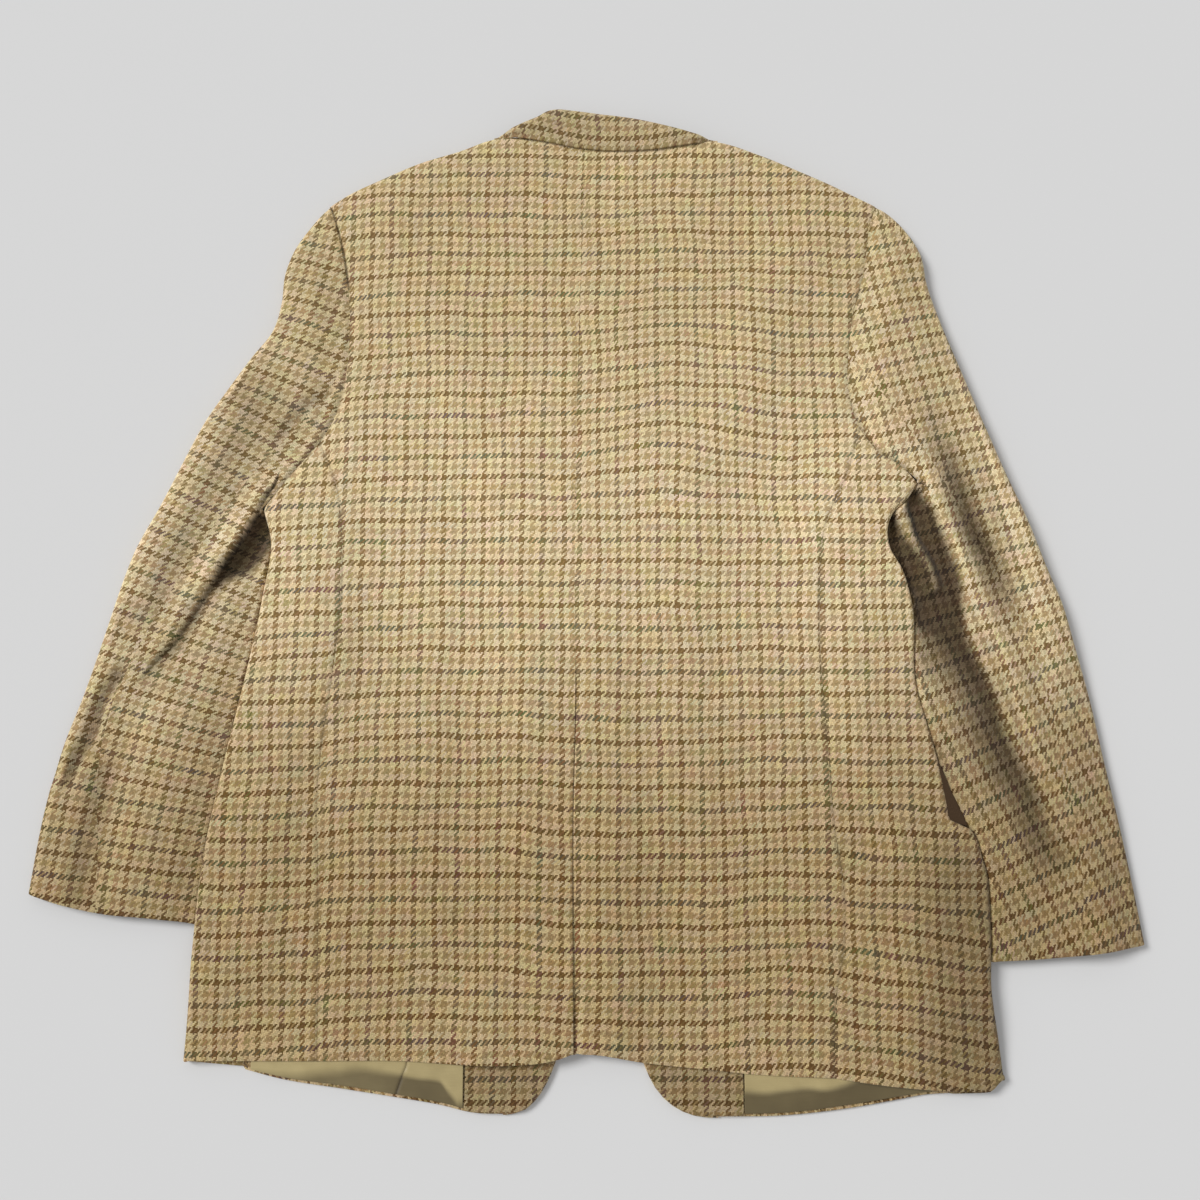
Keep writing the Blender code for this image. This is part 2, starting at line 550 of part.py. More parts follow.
def make_front(side):
    """A front: side seam and armhole on one edge, front edge and lapel's roll on the other."""
    plan = PLAN[side]
    share, _ = body_rows(side)
    hole = plan["armhole_under"]
    arm = under_armhole_shares(side)
    edge = np.vstack([joined_share(side, True).at(share), hole.at(arm[1:])])
    steps = np.linalg.norm(np.diff(edge, axis=0), axis=1)
    along = np.concatenate([[0.0], np.cumsum(steps)]) / steps.sum()
    across = np.linspace(0.0, 1.0, 11)
    line, middle = shoulder_middle(side)
    stations = np.linspace(0.0, 1.0, 6)
    outline = np.stack([np.interp(across, stations, line[:, k]) for k in (0, 1)], axis=1)
    start = hole.at(0.05) - hole.at(0.0)
    start = start / np.linalg.norm(start)
    end = plan["front_edge"].at(0.97) - plan["front_edge"].at(1.0)
    end = end / np.linalg.norm(end)
    inward = (1 - across[:, None]) * start + across[:, None] * end
    inward = inward / np.linalg.norm(inward, axis=1, keepdims=True)
    top = outline + inward * SHOULDER_ROLL
    front_share = along * (1 - SHOULDER_ROLL / plan["front_edge"].length)
    opening = plan["front_edge"].at(front_share)
    opening[-1] = top[-1]
    edge[-1] = top[0]
    edge = toward(edge, opening, UNDER_SEAM)
    top[0] = edge[-1]
    hem = plan["front_hem"].at(across)
    hem[0] = edge[0]
    hem[-1] = opening[0]
    grid = coons(edge, opening, hem, top, across, along)
    z = front_height(grid[..., 0], grid[..., 1], side)
    outline[0] = outline[0] + edge[-1] - hole.at(arm[-1])
    goal = np.interp(across, stations, middle) - 0.4
    rolled = shoulder_rows(outline, inward, z[-1], goal, np.ones(len(across)))
    return panel("front_" + side, np.concatenate([raised(grid, z), rolled]), FRONT_WALL, up=False)


def make_sleeve(side):
    """A two-piece sleeve: the top sleeve wraps the outer fold, the under sleeve lies upwards."""
    plan = PLAN[side]
    hole = plan["armhole"]
    under_hole = plan["armhole_under"]
    along, hind_share, arm, arm_under, inner_share = np.array(SLEEVE_ROWS).T
    outer = plan["outer"].at(along)
    hind = Curve(hole.at(HIND_SHARE), *plan["hind"], plan["cuff"].at(HIND_CUFF)).at(hind_share)
    roll = np.interp(along, (0.0, 1.0), SLEEVE_ROLL)
    on_armhole = (arm < 1.0)[:, None]
    inner = np.where(on_armhole, hole.at(arm), plan["inner"].at(inner_share))
    inner_under = np.where(on_armhole, under_hole.at(arm_under), plan["inner"].at(inner_share))
    start_roll = SHOULDER_ROLL / hole.length
    start_roll_under = SHOULDER_ROLL / under_hole.length

    run = np.gradient(outer, axis=0)
    inward = np.stack([-run[:, 1], run[:, 0]], axis=1) / np.linalg.norm(run, axis=1, keepdims=True)
    inward = inward * np.sign(((inner - outer) * inward).sum(axis=1, keepdims=True))
    inset = outer + inward * roll[:, None]
    inset_under = inset.copy()
    across = np.linspace(0.0, 1.0, 6)
    first = hole.at(HIND_SHARE + (start_roll - HIND_SHARE) * across)
    inset[0] = first[-1]
    hind[0] = first[0]
    last = plan["cuff"].at(HIND_CUFF * (1 - across))
    last[-1] = inset[-1]
    strip = coons(hind, inset, first, last, across, along)
    strip[0] = toward(strip[0], strip[1], np.interp(across, (0.0, 0.8, 1.0), (0.35, 0.5, 0.9))[:, None])
    strip[:, 0] = toward(strip[:, 0], strip[:, 1], SEAM + 0.35)

    inner_under[:7] = toward(inner_under[:7], outer[:7], SEAM + 0.15)
    inset_under[0] = under_hole.at(start_roll_under)
    across = np.linspace(0.0, 1.0, 9)
    first = inset_under[0] + (inner_under[0] - inset_under[0]) * across[:, None]
    last = plan["cuff"].at(across)
    last[0] = inset_under[-1]
    below = coons(inset_under, inner_under, first, last, across, along)
    below[0] = toward(below[0], below[1], np.interp(across, (0.0, 0.4, 1.0), (0.9, 0.4, 0.3))[:, None])

    rim = outer.copy()
    rim[0] = toward(outer[:1], outer[1:2], 0.9)[0]
    high = sleeve_height(strip[..., 0], strip[..., 1], side, along[:, None])
    turned = []
    for angle in TURN[1:-1]:
        start = strip[:, -1] if angle <= math.pi / 2 else below[:, 0]
        plan_point = rim + (start - rim) * (1 - math.sin(angle))
        turned.append(raised(plan_point, high[:, -1] / 2 * (1 + math.cos(angle)))[:, None])
    grid = np.concatenate([raised(strip, high)] + turned + [raised(below, 0 * below[..., 0])], axis=1)
    panel("sleeve_top_" + side, grid, SLEEVE_WALL)

    inner[:7] = toward(inner[:7], hind[:7] + (hind[1:8] - hind[:7]) * 0.5, SEAM + 0.45)
    width = np.linalg.norm(inner - hind, axis=1)
    tucked = np.where(arm < 1.0, 0.0, distance(inner[:, 0], inner[:, 1], plan["fold"].line[::3]))
    tucked[7] = 0.0
    at_body = 1 - (tucked + 3.0) / width
    share = np.concatenate([at_body[:, None] * np.linspace(0.0, 1.0, 9), np.ones((len(along), 1))], axis=1)
    cuff_share = HIND_CUFF + (1 - HIND_CUFF) * share
    bow = plan["cuff"].at(cuff_share) - (hind[-1] + (inner[-1] - hind[-1]) * share[..., None])
    visible = hind[:, None] + (inner - hind)[:, None] * share[..., None] + along[:, None, None] * bow
    visible[0] = toward(visible[0], visible[1], SEAM + 0.1)
    visible[:, 0] = toward(visible[:, 0], visible[:, 1], SEAM + 0.35)
    high = sleeve_height(visible[..., 0], visible[..., 1], side, along[:, None])
    return panel("sleeve_under_" + side, raised(visible, high), SLEEVE_WALL)


def make_collar():
    """The fall, the crest and the stand round the back neck, as one folded strip."""
    along = np.linspace(0.135, 0.865, 15)
    crest = COLLAR_CREST.at(along)
    fall = COLLAR_FALL.at(along)
    neck = toward(NECK.at(along), crest, SEAM + 0.15)
    radius = 4.0
    over = toward(crest, fall, radius)
    beneath = toward(crest, neck, radius)
    fall_z = back_height(fall[:, 0], fall[:, 1]) + REST + COLLAR_WALL
    neck_z = back_height(neck[:, 0], neck[:, 1]) - BACK_WALL + 0.2
    high = fall_z + 2.6
    columns = []
    for t in (0.0, 0.2, 0.6):
        columns.append(raised(fall + (over - fall) * t, fall_z + (high - fall_z) * smooth(t)))
    for angle in TURN:
        start = over if angle <= math.pi / 2 else beneath
        low = neck_z - 0.4
        z = (high + low) / 2 + (high - low) / 2 * math.cos(angle)
        columns.append(raised(crest + (start - crest) * (1 - math.sin(angle)), z))
    columns.append(raised(beneath + (neck - beneath) * 0.5, neck_z - 0.2))
    columns.append(raised(neck, neck_z))
    return panel("collar", np.stack(columns, axis=1), COLLAR_WALL)


def make_sheet(name, side_a, side_b, wall, z, rows, columns, colour=TWEED, roughness=0.9):
    """A flat piece between two edges, its lower face at the heights that z gives."""
    t = np.linspace(0.0, 1.0, columns)[None, :, None]
    plan = side_a.at(np.linspace(0, 1, rows))[:, None] * (1 - t) + side_b.at(np.linspace(0, 1, rows))[:, None] * t
    return panel(name, raised(plan, z(plan[..., 0], plan[..., 1])), wall, colour, roughness, up=False)


def on_floor(x, y):
    """Height of what lies straight on the floor."""
    return 0.0 * x


def make_hem_piece(name, side, start, stop, inset, wall, colour, roughness):
    """Facing or lining on the front's inner face, from near its hem to under the back's hem."""
    hem = PLAN[side]["front_hem"]
    ends = hem.at(np.linspace(0, 1, 200))
    order = np.argsort(ends[:, 0])
    x = np.linspace(start, stop, 8)
    low = np.interp(x, ends[order, 0], ends[order, 1]) + inset
    edge = Curve(*zip(x, low))
    top = Curve(*zip(x, 0 * x + HEM_PIECE_TOP))

    def lying(px, py):
        """Just above the front's inner face."""
        return front_height(px, py, "left") + FRONT_WALL + REST - 0.1

    return make_sheet(name, edge, top, wall, lying, 6, 4, colour, roughness)


def make_facing(side):
    """The facing's foot, with the rounded front corner inside the front's own edge."""
    edge = PLAN[side]["front_edge"]
    boundary = PLAN[side]["lining_edge"]
    hem = PLAN[side]["front_hem"]
    across = hem.at(np.linspace(0, 1, 300))
    order = np.argsort(across[:, 0])
    low = (boundary, np.interp(boundary, across[order, 0], across[order, 1]) + 1.5)
    corner = hem.at(1.0)
    shares = np.linspace(0.0, 1.0, 7)
    stop = edge.share_at(HEM_PIECE_TOP)
    outer = edge.at(shares * stop)
    inside = np.stack([np.full(7, boundary), low[1] + (HEM_PIECE_TOP - low[1]) * shares], axis=1)
    outer = toward(outer, np.stack([0 * shares + boundary, outer[:, 1] + 6.0], axis=1), 2.0)
    outer[0] = (corner[0], corner[1] + 1.8)
    t = np.linspace(0.0, 1.0, 5)[None, :, None]
    bottom = np.array([np.interp(corner[0] + (boundary - corner[0]) * s, across[order, 0],
                                 across[order, 1]) + 1.6 for s in np.linspace(0, 1, 5)])
    plan = outer[:, None] * (1 - t) + inside[:, None] * t
    plan[0, :, 1] = bottom
    z = front_height(plan[..., 0], plan[..., 1], side) + FRONT_WALL + REST - 0.1
    return panel("facing_" + side, raised(plan, z), FACING_WALL, up=False)


def make_button(name, y):
    """A horn button, its face on the floor and its back under the front."""
    bpy.ops.mesh.primitive_cylinder_add(
        vertices=24, radius=BUTTON_RADIUS * MM, depth=BUTTON_HEIGHT * MM,
        location=(CENTRE_FRONT * MM, y * MM, BUTTON_HEIGHT * MM / 2))
    button = bpy.context.object
    button.name = name
    button.data.name = name
    for other in button.users_collection:
        other.objects.unlink(button)
    jacket.objects.link(button)
    button.data.materials.append(material(name + "_horn", HORN, 0.35))
    button.data.shade_smooth()
    button.data.set_sharp_from_angle(angle=math.radians(40))
    return button


for leftover in list(bpy.data.objects):
    bpy.data.objects.remove(leftover)
bpy.context.scene.collection.children.link(jacket)

for hand in PLAN:
    make_back(hand)
    make_side(hand)
    make_front(hand)
    make_sleeve(hand)
    make_facing(hand)
    lapel = LAPEL[hand]
    make_sheet("lapel_" + hand, Curve(*lapel["roll"]), Curve(*lapel["outer"]), LAPEL_WALL, on_floor, 8, 4)
    leaf = LEAF[hand]
    make_sheet("collar_leaf_" + hand, Curve(leaf[1], leaf[2]), Curve(leaf[0], leaf[3]), LAPEL_WALL,
               on_floor, 4, 4)
    flap = FLAP[hand]
    make_sheet("flap_" + hand, Curve(flap[0], flap[1]), Curve(flap[3], flap[2]), FLAP_WALL, on_floor, 5, 3)

make_hem_piece("lining_left", "left", -266.0, -96.0, 9.0, LINING_WALL, SATIN, 0.35)
make_hem_piece("lining_right", "right", 286.0, 127.0, 9.0, LINING_WALL, SATIN, 0.35)
make_collar()
make_sheet("pocket_bag", Curve((294.5, -160.0), (301.8, -198.5)), Curve((295.6, -160.0), (312.5, -202.0)),
           LINING_WALL, lambda x, y: 0.0 * x + 8.6, 4, 3, POCKETING, 0.95)
for button_name, button_y in BUTTONS.items():
    make_button(button_name, button_y)
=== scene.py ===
import math

import bpy
import numpy as np
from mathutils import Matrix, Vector


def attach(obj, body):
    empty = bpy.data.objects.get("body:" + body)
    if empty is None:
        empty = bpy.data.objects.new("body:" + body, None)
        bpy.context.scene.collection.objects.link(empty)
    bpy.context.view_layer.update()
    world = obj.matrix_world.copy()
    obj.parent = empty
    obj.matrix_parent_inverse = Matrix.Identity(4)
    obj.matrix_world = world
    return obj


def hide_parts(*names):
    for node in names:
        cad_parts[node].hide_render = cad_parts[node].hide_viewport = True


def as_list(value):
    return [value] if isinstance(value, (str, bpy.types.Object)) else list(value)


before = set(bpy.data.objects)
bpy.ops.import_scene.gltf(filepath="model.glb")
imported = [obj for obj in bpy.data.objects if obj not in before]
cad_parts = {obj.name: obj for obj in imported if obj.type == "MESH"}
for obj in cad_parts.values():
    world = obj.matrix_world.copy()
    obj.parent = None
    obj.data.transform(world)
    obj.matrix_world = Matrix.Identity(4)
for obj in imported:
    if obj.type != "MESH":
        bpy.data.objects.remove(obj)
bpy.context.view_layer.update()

# --- The tweed ---------------------------------------------------------------------------------
# A woollen 2/2 twill. Warp and weft both run four ends cream, four tan, four cream, four dark,
# with the dark ends brown and blue-grey by turns, which makes a gun club check. The yarn is
# spun from dyed wool of several colours, so that its hue drifts along each end.

END = 0.001065
PICK = 0.00113
STRAY = 0.0022
# Each dye is its red, green and blue, and how much the hue of its yarn drifts.
CREAM = (0.845, 0.685, 0.425, 0.22)
TAN = (0.510, 0.368, 0.182, 0.26)
WARP_BROWN = (0.305, 0.192, 0.072, 0.25)
WARP_SLATE = (0.300, 0.208, 0.094, 0.60)
WEFT_BROWN = (0.238, 0.145, 0.046, 0.25)
WEFT_SLATE = (0.230, 0.170, 0.084, 0.80)
# Painted shade: what is left of the colour towards the hem and the collar, at the hem's right, and where
# the mesh holds painted shade.
HEM_PAINTED_SHADE = (0.67, 0.63, 0.53, 1.0)
HEM_PAINTED_SHADE_LOSS = (0.033, 0.029, 0.013, 1.0)
COLLAR_PAINTED_SHADE = (0.865, 0.85, 0.79, 1.0)
RIGHT_PAINTED_SHADE = (0.755, 0.74, 0.71, 1.0)
PAINTED_SHADE_TINT = (0.13, 0.11, 0.09, 1.0)


class Number:
    """A number that a material's nodes carry. Arithmetic on it adds Math nodes."""

    def __init__(self, tree, socket):
        self.tree = tree
        self.socket = socket

    def step(self, operation, *values):
        made = self.tree.nodes.new("ShaderNodeMath")
        made.operation = operation
        for place, value in zip(made.inputs, values):
            if isinstance(value, Number):
                self.tree.links.new(value.socket, place)
            else:
                place.default_value = value
        return Number(self.tree, made.outputs[0])

    def __add__(self, other):
        return self.step("ADD", self, other)

    def __sub__(self, other):
        return self.step("SUBTRACT", self, other)

    def __rsub__(self, other):
        return self.step("SUBTRACT", other, self)

    def __mul__(self, other):
        return self.step("MULTIPLY", self, other)

    def __truediv__(self, other):
        return self.step("DIVIDE", self, other)

    def __mod__(self, other):
        return self.step("FLOORED_MODULO", self, other)

    def __lt__(self, other):
        return self.step("LESS_THAN", self, other)

    __radd__ = __add__
    __rmul__ = __mul__

    def floor(self):
        return self.step("FLOOR", self)

    def half_wave(self):
        """The sine of pi times the number: 0 at 0, 1 at a half, 0 at 1."""
        return self.step("SINE", self * math.pi)


class Finish:
    """A material with one Principled shader. Its constants are set on the shader's own sockets."""

    def __init__(self, name, **constants):
        self.material = bpy.data.materials.new(name)
        self.material.use_nodes = True
        self.tree = self.material.node_tree
        self.shader = self.tree.nodes["Principled BSDF"]
        for socket, value in constants.items():
            self.shader.inputs[socket.replace("_", " ")].default_value = value

    def node(self, kind, sockets, output=0, stops=None, **settings):
        """A node of a type: first its settings, then the values or links of its sockets."""
        made = self.tree.nodes.new(kind)
        for name, value in settings.items():
            setattr(made, name, value)
        if stops:
            made.color_ramp.interpolation = "CONSTANT"
            for place, colour in stops[1:-1]:
                made.color_ramp.elements.new(place)
            for element, (place, colour) in zip(made.color_ramp.elements, stops):
                element.position = place
                element.color = colour
        places = {place.identifier: place for place in made.inputs}
        for name, value in sockets.items():
            if isinstance(value, Number):
                self.tree.links.new(value.socket, places[name])
            else:
                places[name].default_value = value
        return Number(self.tree, made.outputs[output])

    def beside(self, number, output):
        """Another output of the node that a number comes from."""
        return Number(self.tree, number.socket.node.outputs[output])

    def apart(self, vector):
        """The x, y and z of a vector."""
        x = self.node("ShaderNodeSeparateXYZ", {"Vector": vector})
        return x, self.beside(x, 1), self.beside(x, 2)

    def together(self, x, y, z):
        """A vector from its x, y and z."""
        return self.node("ShaderNodeCombineXYZ", {"X": x, "Y": y, "Z": z})

    def cut(self):
        """A point's place on the piece laid flat, in metres, and its two measures."""
        cut = self.node("ShaderNodeUVMap", {}, uv_map="cut")
        across, along, _ = self.apart(cut)
        return cut, across, along

    def painted_shade(self):
        """The piece's painted shade, which its mesh holds at each point."""
        return self.node("ShaderNodeAttribute", {}, 2, attribute_name="painted_shade")

    def climb(self, value, start, stop):
        """0 up to start and 1 from stop on, with a smooth climb between them."""
        sockets = {"Value": value, "From Min": start, "From Max": stop}
        return self.node("ShaderNodeMapRange", sockets, interpolation_type="SMOOTHSTEP")

    def scaled(self, colour, number):
        """A colour or vector times a number."""
        return self.node("ShaderNodeVectorMath", {"Vector": colour, "Scale": number}, operation="SCALE")

    def times_plus(self, vector, factor, rest):
        """A vector times a second one, plus a third."""
        sockets = {"Vector": vector, "Vector_001": factor, "Vector_002": rest}
        return self.node("ShaderNodeVectorMath", sockets, operation="MULTIPLY_ADD")

    def bump(self, height, distance, strength=0.4):
        """A normal that follows a fine height, whose 1 stands for a distance in metres."""
        sockets = {"Height": height, "Distance": distance, "Strength": strength}
        return self.node("ShaderNodeBump", sockets)

    def mixed(self, share, first, second, blend="MIX"):
        """The first colour, with the second over it by a share."""
        sockets = {"Factor_Float": share, "A_Color": first, "B_Color": second}
        return self.node("ShaderNodeMix", sockets, 2, data_type="RGBA", blend_type=blend)

    def noise(self, vector, scale, detail=0.0, output=0):
        """Blender's noise at a vector: its value, or with output 1 its colour."""
        sockets = {"Vector": vector, "Scale": scale, "Detail": detail}
        return self.node("ShaderNodeTexNoise", sockets, output)

    def feed(self, **links):
        """Links to the shader's own sockets."""
        for socket, value in links.items():
            self.tree.links.new(value.socket, self.shader.inputs[socket.replace("_", " ")])


def weave_tweed():
    """The gun club check on each piece's cut, which its UV map "cut" holds in metres.

    End i and pick j cross with the end on top where (i - j) mod 4 is under 2. The colour is that
    end's or that pick's, by its group of four.
    """
    cloth = Finish("gun_club_tweed", Roughness=0.92, Specular_IOR_Level=0.18, Sheen_Weight=0.12,
                   Sheen_Roughness=0.6)
    cut, across, along = cloth.cut()
    waver, sway, _ = cloth.apart(cloth.noise(cut, 70.0, 1.0, 1))
    ends = (across + (waver - 0.5) * STRAY) / END
    picks = (along + (sway - 0.5) * STRAY) / PICK
    end = ends.floor()
    pick = picks.floor()
    step = (end - pick) % 4.0
    end_on_top = step < 2.0
    end_group = (end / 4.0).floor()
    pick_group = (pick / 4.0).floor()

    def yarns(group, dyes, x, y, z):
        """A yarn's colour: its group's dye times the slow drift of the spun colours.

        The drift is a noise colour about 1, made wider by the dye's fourth number.
        """
        stops = [(k / 8.0, colour) for k, colour in enumerate(dyes)]
        dye = cloth.node("ShaderNodeValToRGB", {"Fac": (group % 8.0 + 0.5) / 8.0}, stops=stops)
        drift = cloth.noise(cloth.together(x, y, z), 1.0, 1.0, 1)
        drift = cloth.times_plus(drift, (1.5, 1.3, 2.6), (-0.75, -0.65, -1.3))
        return cloth.times_plus(cloth.scaled(drift, cloth.beside(dye, 1)), dye, dye)

    warp_dyes = [CREAM, TAN, CREAM, WARP_BROWN, CREAM, TAN, CREAM, WARP_SLATE]
    weft_dyes = [CREAM, TAN, CREAM, WEFT_BROWN, CREAM, TAN, CREAM, WEFT_SLATE]
    warp_colour = yarns(end_group, warp_dyes, end_group * 5.37, along * 52.0, 0.0)
    weft_colour = yarns(pick_group, weft_dyes, across * 46.0, pick_group * 5.37, 9.0)
    colour = cloth.mixed(end_on_top, weft_colour, warp_colour)

    in_end = ends % 1.0
    in_pick = picks % 1.0
    beside = in_end * end_on_top + in_pick * (1 - end_on_top)
    float_run = (1 - step + in_pick) * end_on_top + (step - 2 + in_end) * (1 - end_on_top)
    # The crown is painted light and shade on each yarn: lighter on its top and middle, darker at its
    # sides and where it dips under. It also gives the bump.
    crown = beside.half_wave() * (0.45 + 0.55 * (float_run / 2.0).half_wave())
    fibre = cloth.noise(cut, 1500.0, 2.0)
    lint = cloth.noise(cut, 300.0, 2.0)
    yarn = cloth.node("ShaderNodeTexWhiteNoise", {"Vector": cloth.together(end, pick, 0.0)})
    # The crown's part of this is painted shade between the yarns; fibre, lint and yarn are the wool's own
    # uneven tone.
    shade = (0.76 + 0.32 * crown) * (0.50 + fibre) * (0.84 + 0.32 * lint) * (0.84 + 0.32 * yarn)
    x, y, _ = cloth.apart(cloth.node("ShaderNodeTexCoord", {}, 3))
    low = cloth.climb(y, 0.05, -0.26)
    colour = cloth.scaled(colour, shade)
    # Painted shade by place on the jacket: darker towards the hem, where the dark yarns lose more,
    # towards the collar, and at the hem's right.
    colour = cloth.mixed(low, colour, HEM_PAINTED_SHADE, "MULTIPLY")
    colour = cloth.mixed(low, colour, HEM_PAINTED_SHADE_LOSS, "SUBTRACT")
    colour = cloth.mixed(cloth.climb(y, 0.05, 0.30), colour, COLLAR_PAINTED_SHADE, "MULTIPLY")
    colour = cloth.mixed(low * cloth.climb(x, 0.14, 0.36), colour, RIGHT_PAINTED_SHADE, "MULTIPLY")
    # Painted shade that the mesh holds: in folds, at seams, and over pieces that lie in shade.
    colour = cloth.mixed(cloth.painted_shade(), colour, PAINTED_SHADE_TINT, "MULTIPLY")
    cloth.feed(Base_Color=colour, Normal=cloth.bump(crown + fibre * 0.5, 0.0003))
    return cloth.material


TWEED = weave_tweed()

# --- Fronts ------------------------------------------------------------------------------------
# Two tweed fronts, canvassed, lying outer face down with the left one lapped over the right and
# buttoned. They rest on their lapels, flaps and buttons, and on the sleeves at the side folds.
# Plan measures and heights here and below are in millimetres, and MM makes them metres.

MM = 0.001
SIDES = ("left", "right")
OUTWARDS = {"left": -1.0, "right": 1.0}
FRONT_WALL = 3.0
SLEEVE_WALL = 2.2
LAPEL_WALL = 2.2
FLAP_WALL = 2.0
BUTTON_HEIGHT = 2.8
GAP = 0.02  # beside each sewn edge
REST = 0.5  # between layers that lie on each other
EASE = 0.2  # more room over what lies under a panel
RIM = 1.0  # how far a grid stops inside a free outline, which its round edge fills
SHOULDER_ROLL = 6.0  # how far from the shoulder line a panel starts to turn
TUCKED = 2 * SLEEVE_WALL + 1.0  # the sleeve's height where the body lies on it
SIDE_SHARE = 0.75  # share of the armhole at which the side body's seam meets it


def shares(count):
    """Even shares from 0 to 1."""
    return np.linspace(0.0, 1.0, count)


def unit(vectors):
    """The vectors at length 1."""
    return vectors / np.maximum(np.linalg.norm(vectors, axis=-1, keepdims=True), 1e-12)


def run_lengths(grid, axis=0):
    """Lengths along a grid from its first row or column: the sums of its steps."""
    steps = np.linalg.norm(np.diff(grid, axis=axis), axis=-1)
    start = np.zeros_like(np.take(steps, [0], axis))
    return np.concatenate([start, np.cumsum(steps, axis=axis)], axis=axis)


class Curve:
    """A smooth plan run through a few points, read by its share of the length.

    Between two points it is a cubic whose slopes are the means of the straight steps beside them.
    """

    def __init__(self, *points):
        p = np.array(points, float)
        step = np.linalg.norm(np.diff(p, axis=0), axis=1)
        slope = np.diff(p, axis=0) / step[:, None]
        tangent = np.vstack([slope[:1], slope, slope[-1:]])
        before = np.concatenate([step[:1], step])[:, None]
        after = np.concatenate([step, step[-1:]])[:, None]
        tangent = (tangent[:-1] * after + tangent[1:] * before) / (before + after)
        t = np.linspace(0.0, 1.0, 12, endpoint=False)[:, None]
        runs = []
        for i, reach in enumerate(step):
            runs.append(p[i] * (1 + 2 * t) * (1 - t) ** 2 + p[i + 1] * t * t * (3 - 2 * t)
                        + reach * (tangent[i] * t * (1 - t) ** 2 - tangent[i + 1] * t * t * (1 - t)))
        self.line = np.vstack(runs + [p[-1:]])
        self.runs = run_lengths(self.line)
        self.length = self.runs[-1]

    def at(self, share):
        """Plan points at the given shares of the length."""
        s = np.asarray(share, float) * self.length
        return np.stack([np.interp(s, self.runs, self.line[:, k]) for k in (0, 1)], axis=-1)

    def share_at(self, y):
        """The share at which the curve, which climbs, reaches the height y on the plan."""
        rising = np.maximum.accumulate(self.line[:, 1]) + np.arange(len(self.line)) * 1e-6
        return np.interp(y, rising, self.runs) / self.length


SHOULDER_POINTS = {
    "left": ((-229, 341), (-217, 349), (-183, 366), (-149, 381), (-115, 392), (-82, 404)),
    "right": ((259, 341), (249, 346), (219, 361), (192, 373), (158, 388), (118, 401)),
}
SHOULDER = {side: Curve(*points) for side, points in SHOULDER_POINTS.items()}
ARMHOLE_UNDER = {
    "left": Curve((-229, 341), (-214, 312), (-200, 272), (-190, 225), (-188, 185), (-194, 150),
                  (-210, 118), (-236, 88), (-275, 61)),
    "right": Curve((259, 341), (246, 312), (232, 272), (221, 228), (215, 190), (218, 156), (228, 128),
                   (250, 104), (285, 84)),
}
SEAM_UNDER = {
    side: Curve(*points, ARMHOLE_UNDER[side].at(SIDE_SHARE)) for side, points in (
        ("left", ((-272, -392), (-266, -290), (-248, -150), (-230, -50), (-222, 40))),
        ("right", ((292, -413), (284, -328), (284, -266), (272, -205), (252, -154), (236, -93),
                   (232, -14), (224, 40))))
}
FRONT_EDGE = {
    "left": Curve((-63, -429), (-48, -426), (-36, -415), (-27, -399), (-20, -380), (-4, -320),
                  (12, -250), (24, -180), (30, -110), (30, -30), (30, 45), (5, 130), (-25, 230),
                  (-55, 325), (-82, 404)),
    "right": Curve((105, -431), (89, -430), (71, -423), (58, -411), (48, -392), (40, -370),
                   (26, -320), (10, -250), (-3, -180), (-10, -110), (-10, -30), (-10, 45), (15, 130),
                   (48, 230), (82, 325), (118, 401)),
}
FRONT_HEM = {
    "left": Curve((-272, -395), (-244, -402), (-192, -410), (-152, -416), (-115, -422), (-88, -428),
                  (-63, -429)),
    "right": Curve((292, -413), (270, -414.5), (250, -418), (207, -425), (159, -430), (105, -431)),
}
SLEEVE_INNER = {
    "left": Curve((-276.5, 62), (-268, 52), (-262, 40), (-258, 10), (-261, -40), (-271, -86),
                  (-284, -151), (-299, -247), (-300, -286)),
    "right": Curve((287, 86), (272, 75), (259, 62), (251, 46), (250, 26), (253, 0), (258, -50),
                   (263, -93), (272, -130), (283, -170), (295, -205), (307, -240), (310, -275),
                   (309, -313)),
}
LAPEL_ROLL = {"left": ((30, 50), (-62, 352)), "right": ((16, 132), (92, 345))}
LAPEL_EDGE = {"left": ((24, 44), (-20, 105), (-62, 175), (-100, 240), (-126, 290)),
              "right": ((40, 112), (84, 175), (124, 240), (152, 290))}
LEAF = {"left": ((-130, 323), (-64, 355), (-81, 400), (-119, 386)),
        "right": ((158, 323), (94, 352), (117, 398), (150, 386))}
FLAP = {"left": ((-280, -203), (-130, -172), (-134, -222), (-281, -254)),
        "right": ((278, -203), (138, -172), (142, -222), (279, -254))}
OVERLAP = ((-10, 45), (3, 92), (9, 112), (16, 92), (30, 45), (30, -110), (26, -180), (15, -250),
           (6, -296), (0, -250), (-5, -180), (-10, -110))


def smooth(t):
    """0 below 0 and 1 above 1, with a smooth climb between them: t * t * (3 - 2 t)."""
    t = np.clip(t, 0.0, 1.0)
    return t * t * (3 - 2 * t)


def climb(value, start, stop):
    """0 where a value is at start, 1 where it is at stop, and a smooth climb between them."""
    return smooth((value - start) / (stop - start))


def distance(x, y, run):
    """Plan distance from each point to the nearest part of a run of straight lines."""
    run = np.asarray(run, float)
    nearest = np.full(np.shape(x), 1e9)
    for a, b in zip(run, run[1:]):
        d = b - a
        t = np.clip(((x - a[0]) * d[0] + (y - a[1]) * d[1]) / (d @ d), 0.0, 1.0)
        nearest = np.minimum(nearest, np.hypot(x - a[0] - t * d[0], y - a[1] - t * d[1]))
    return nearest


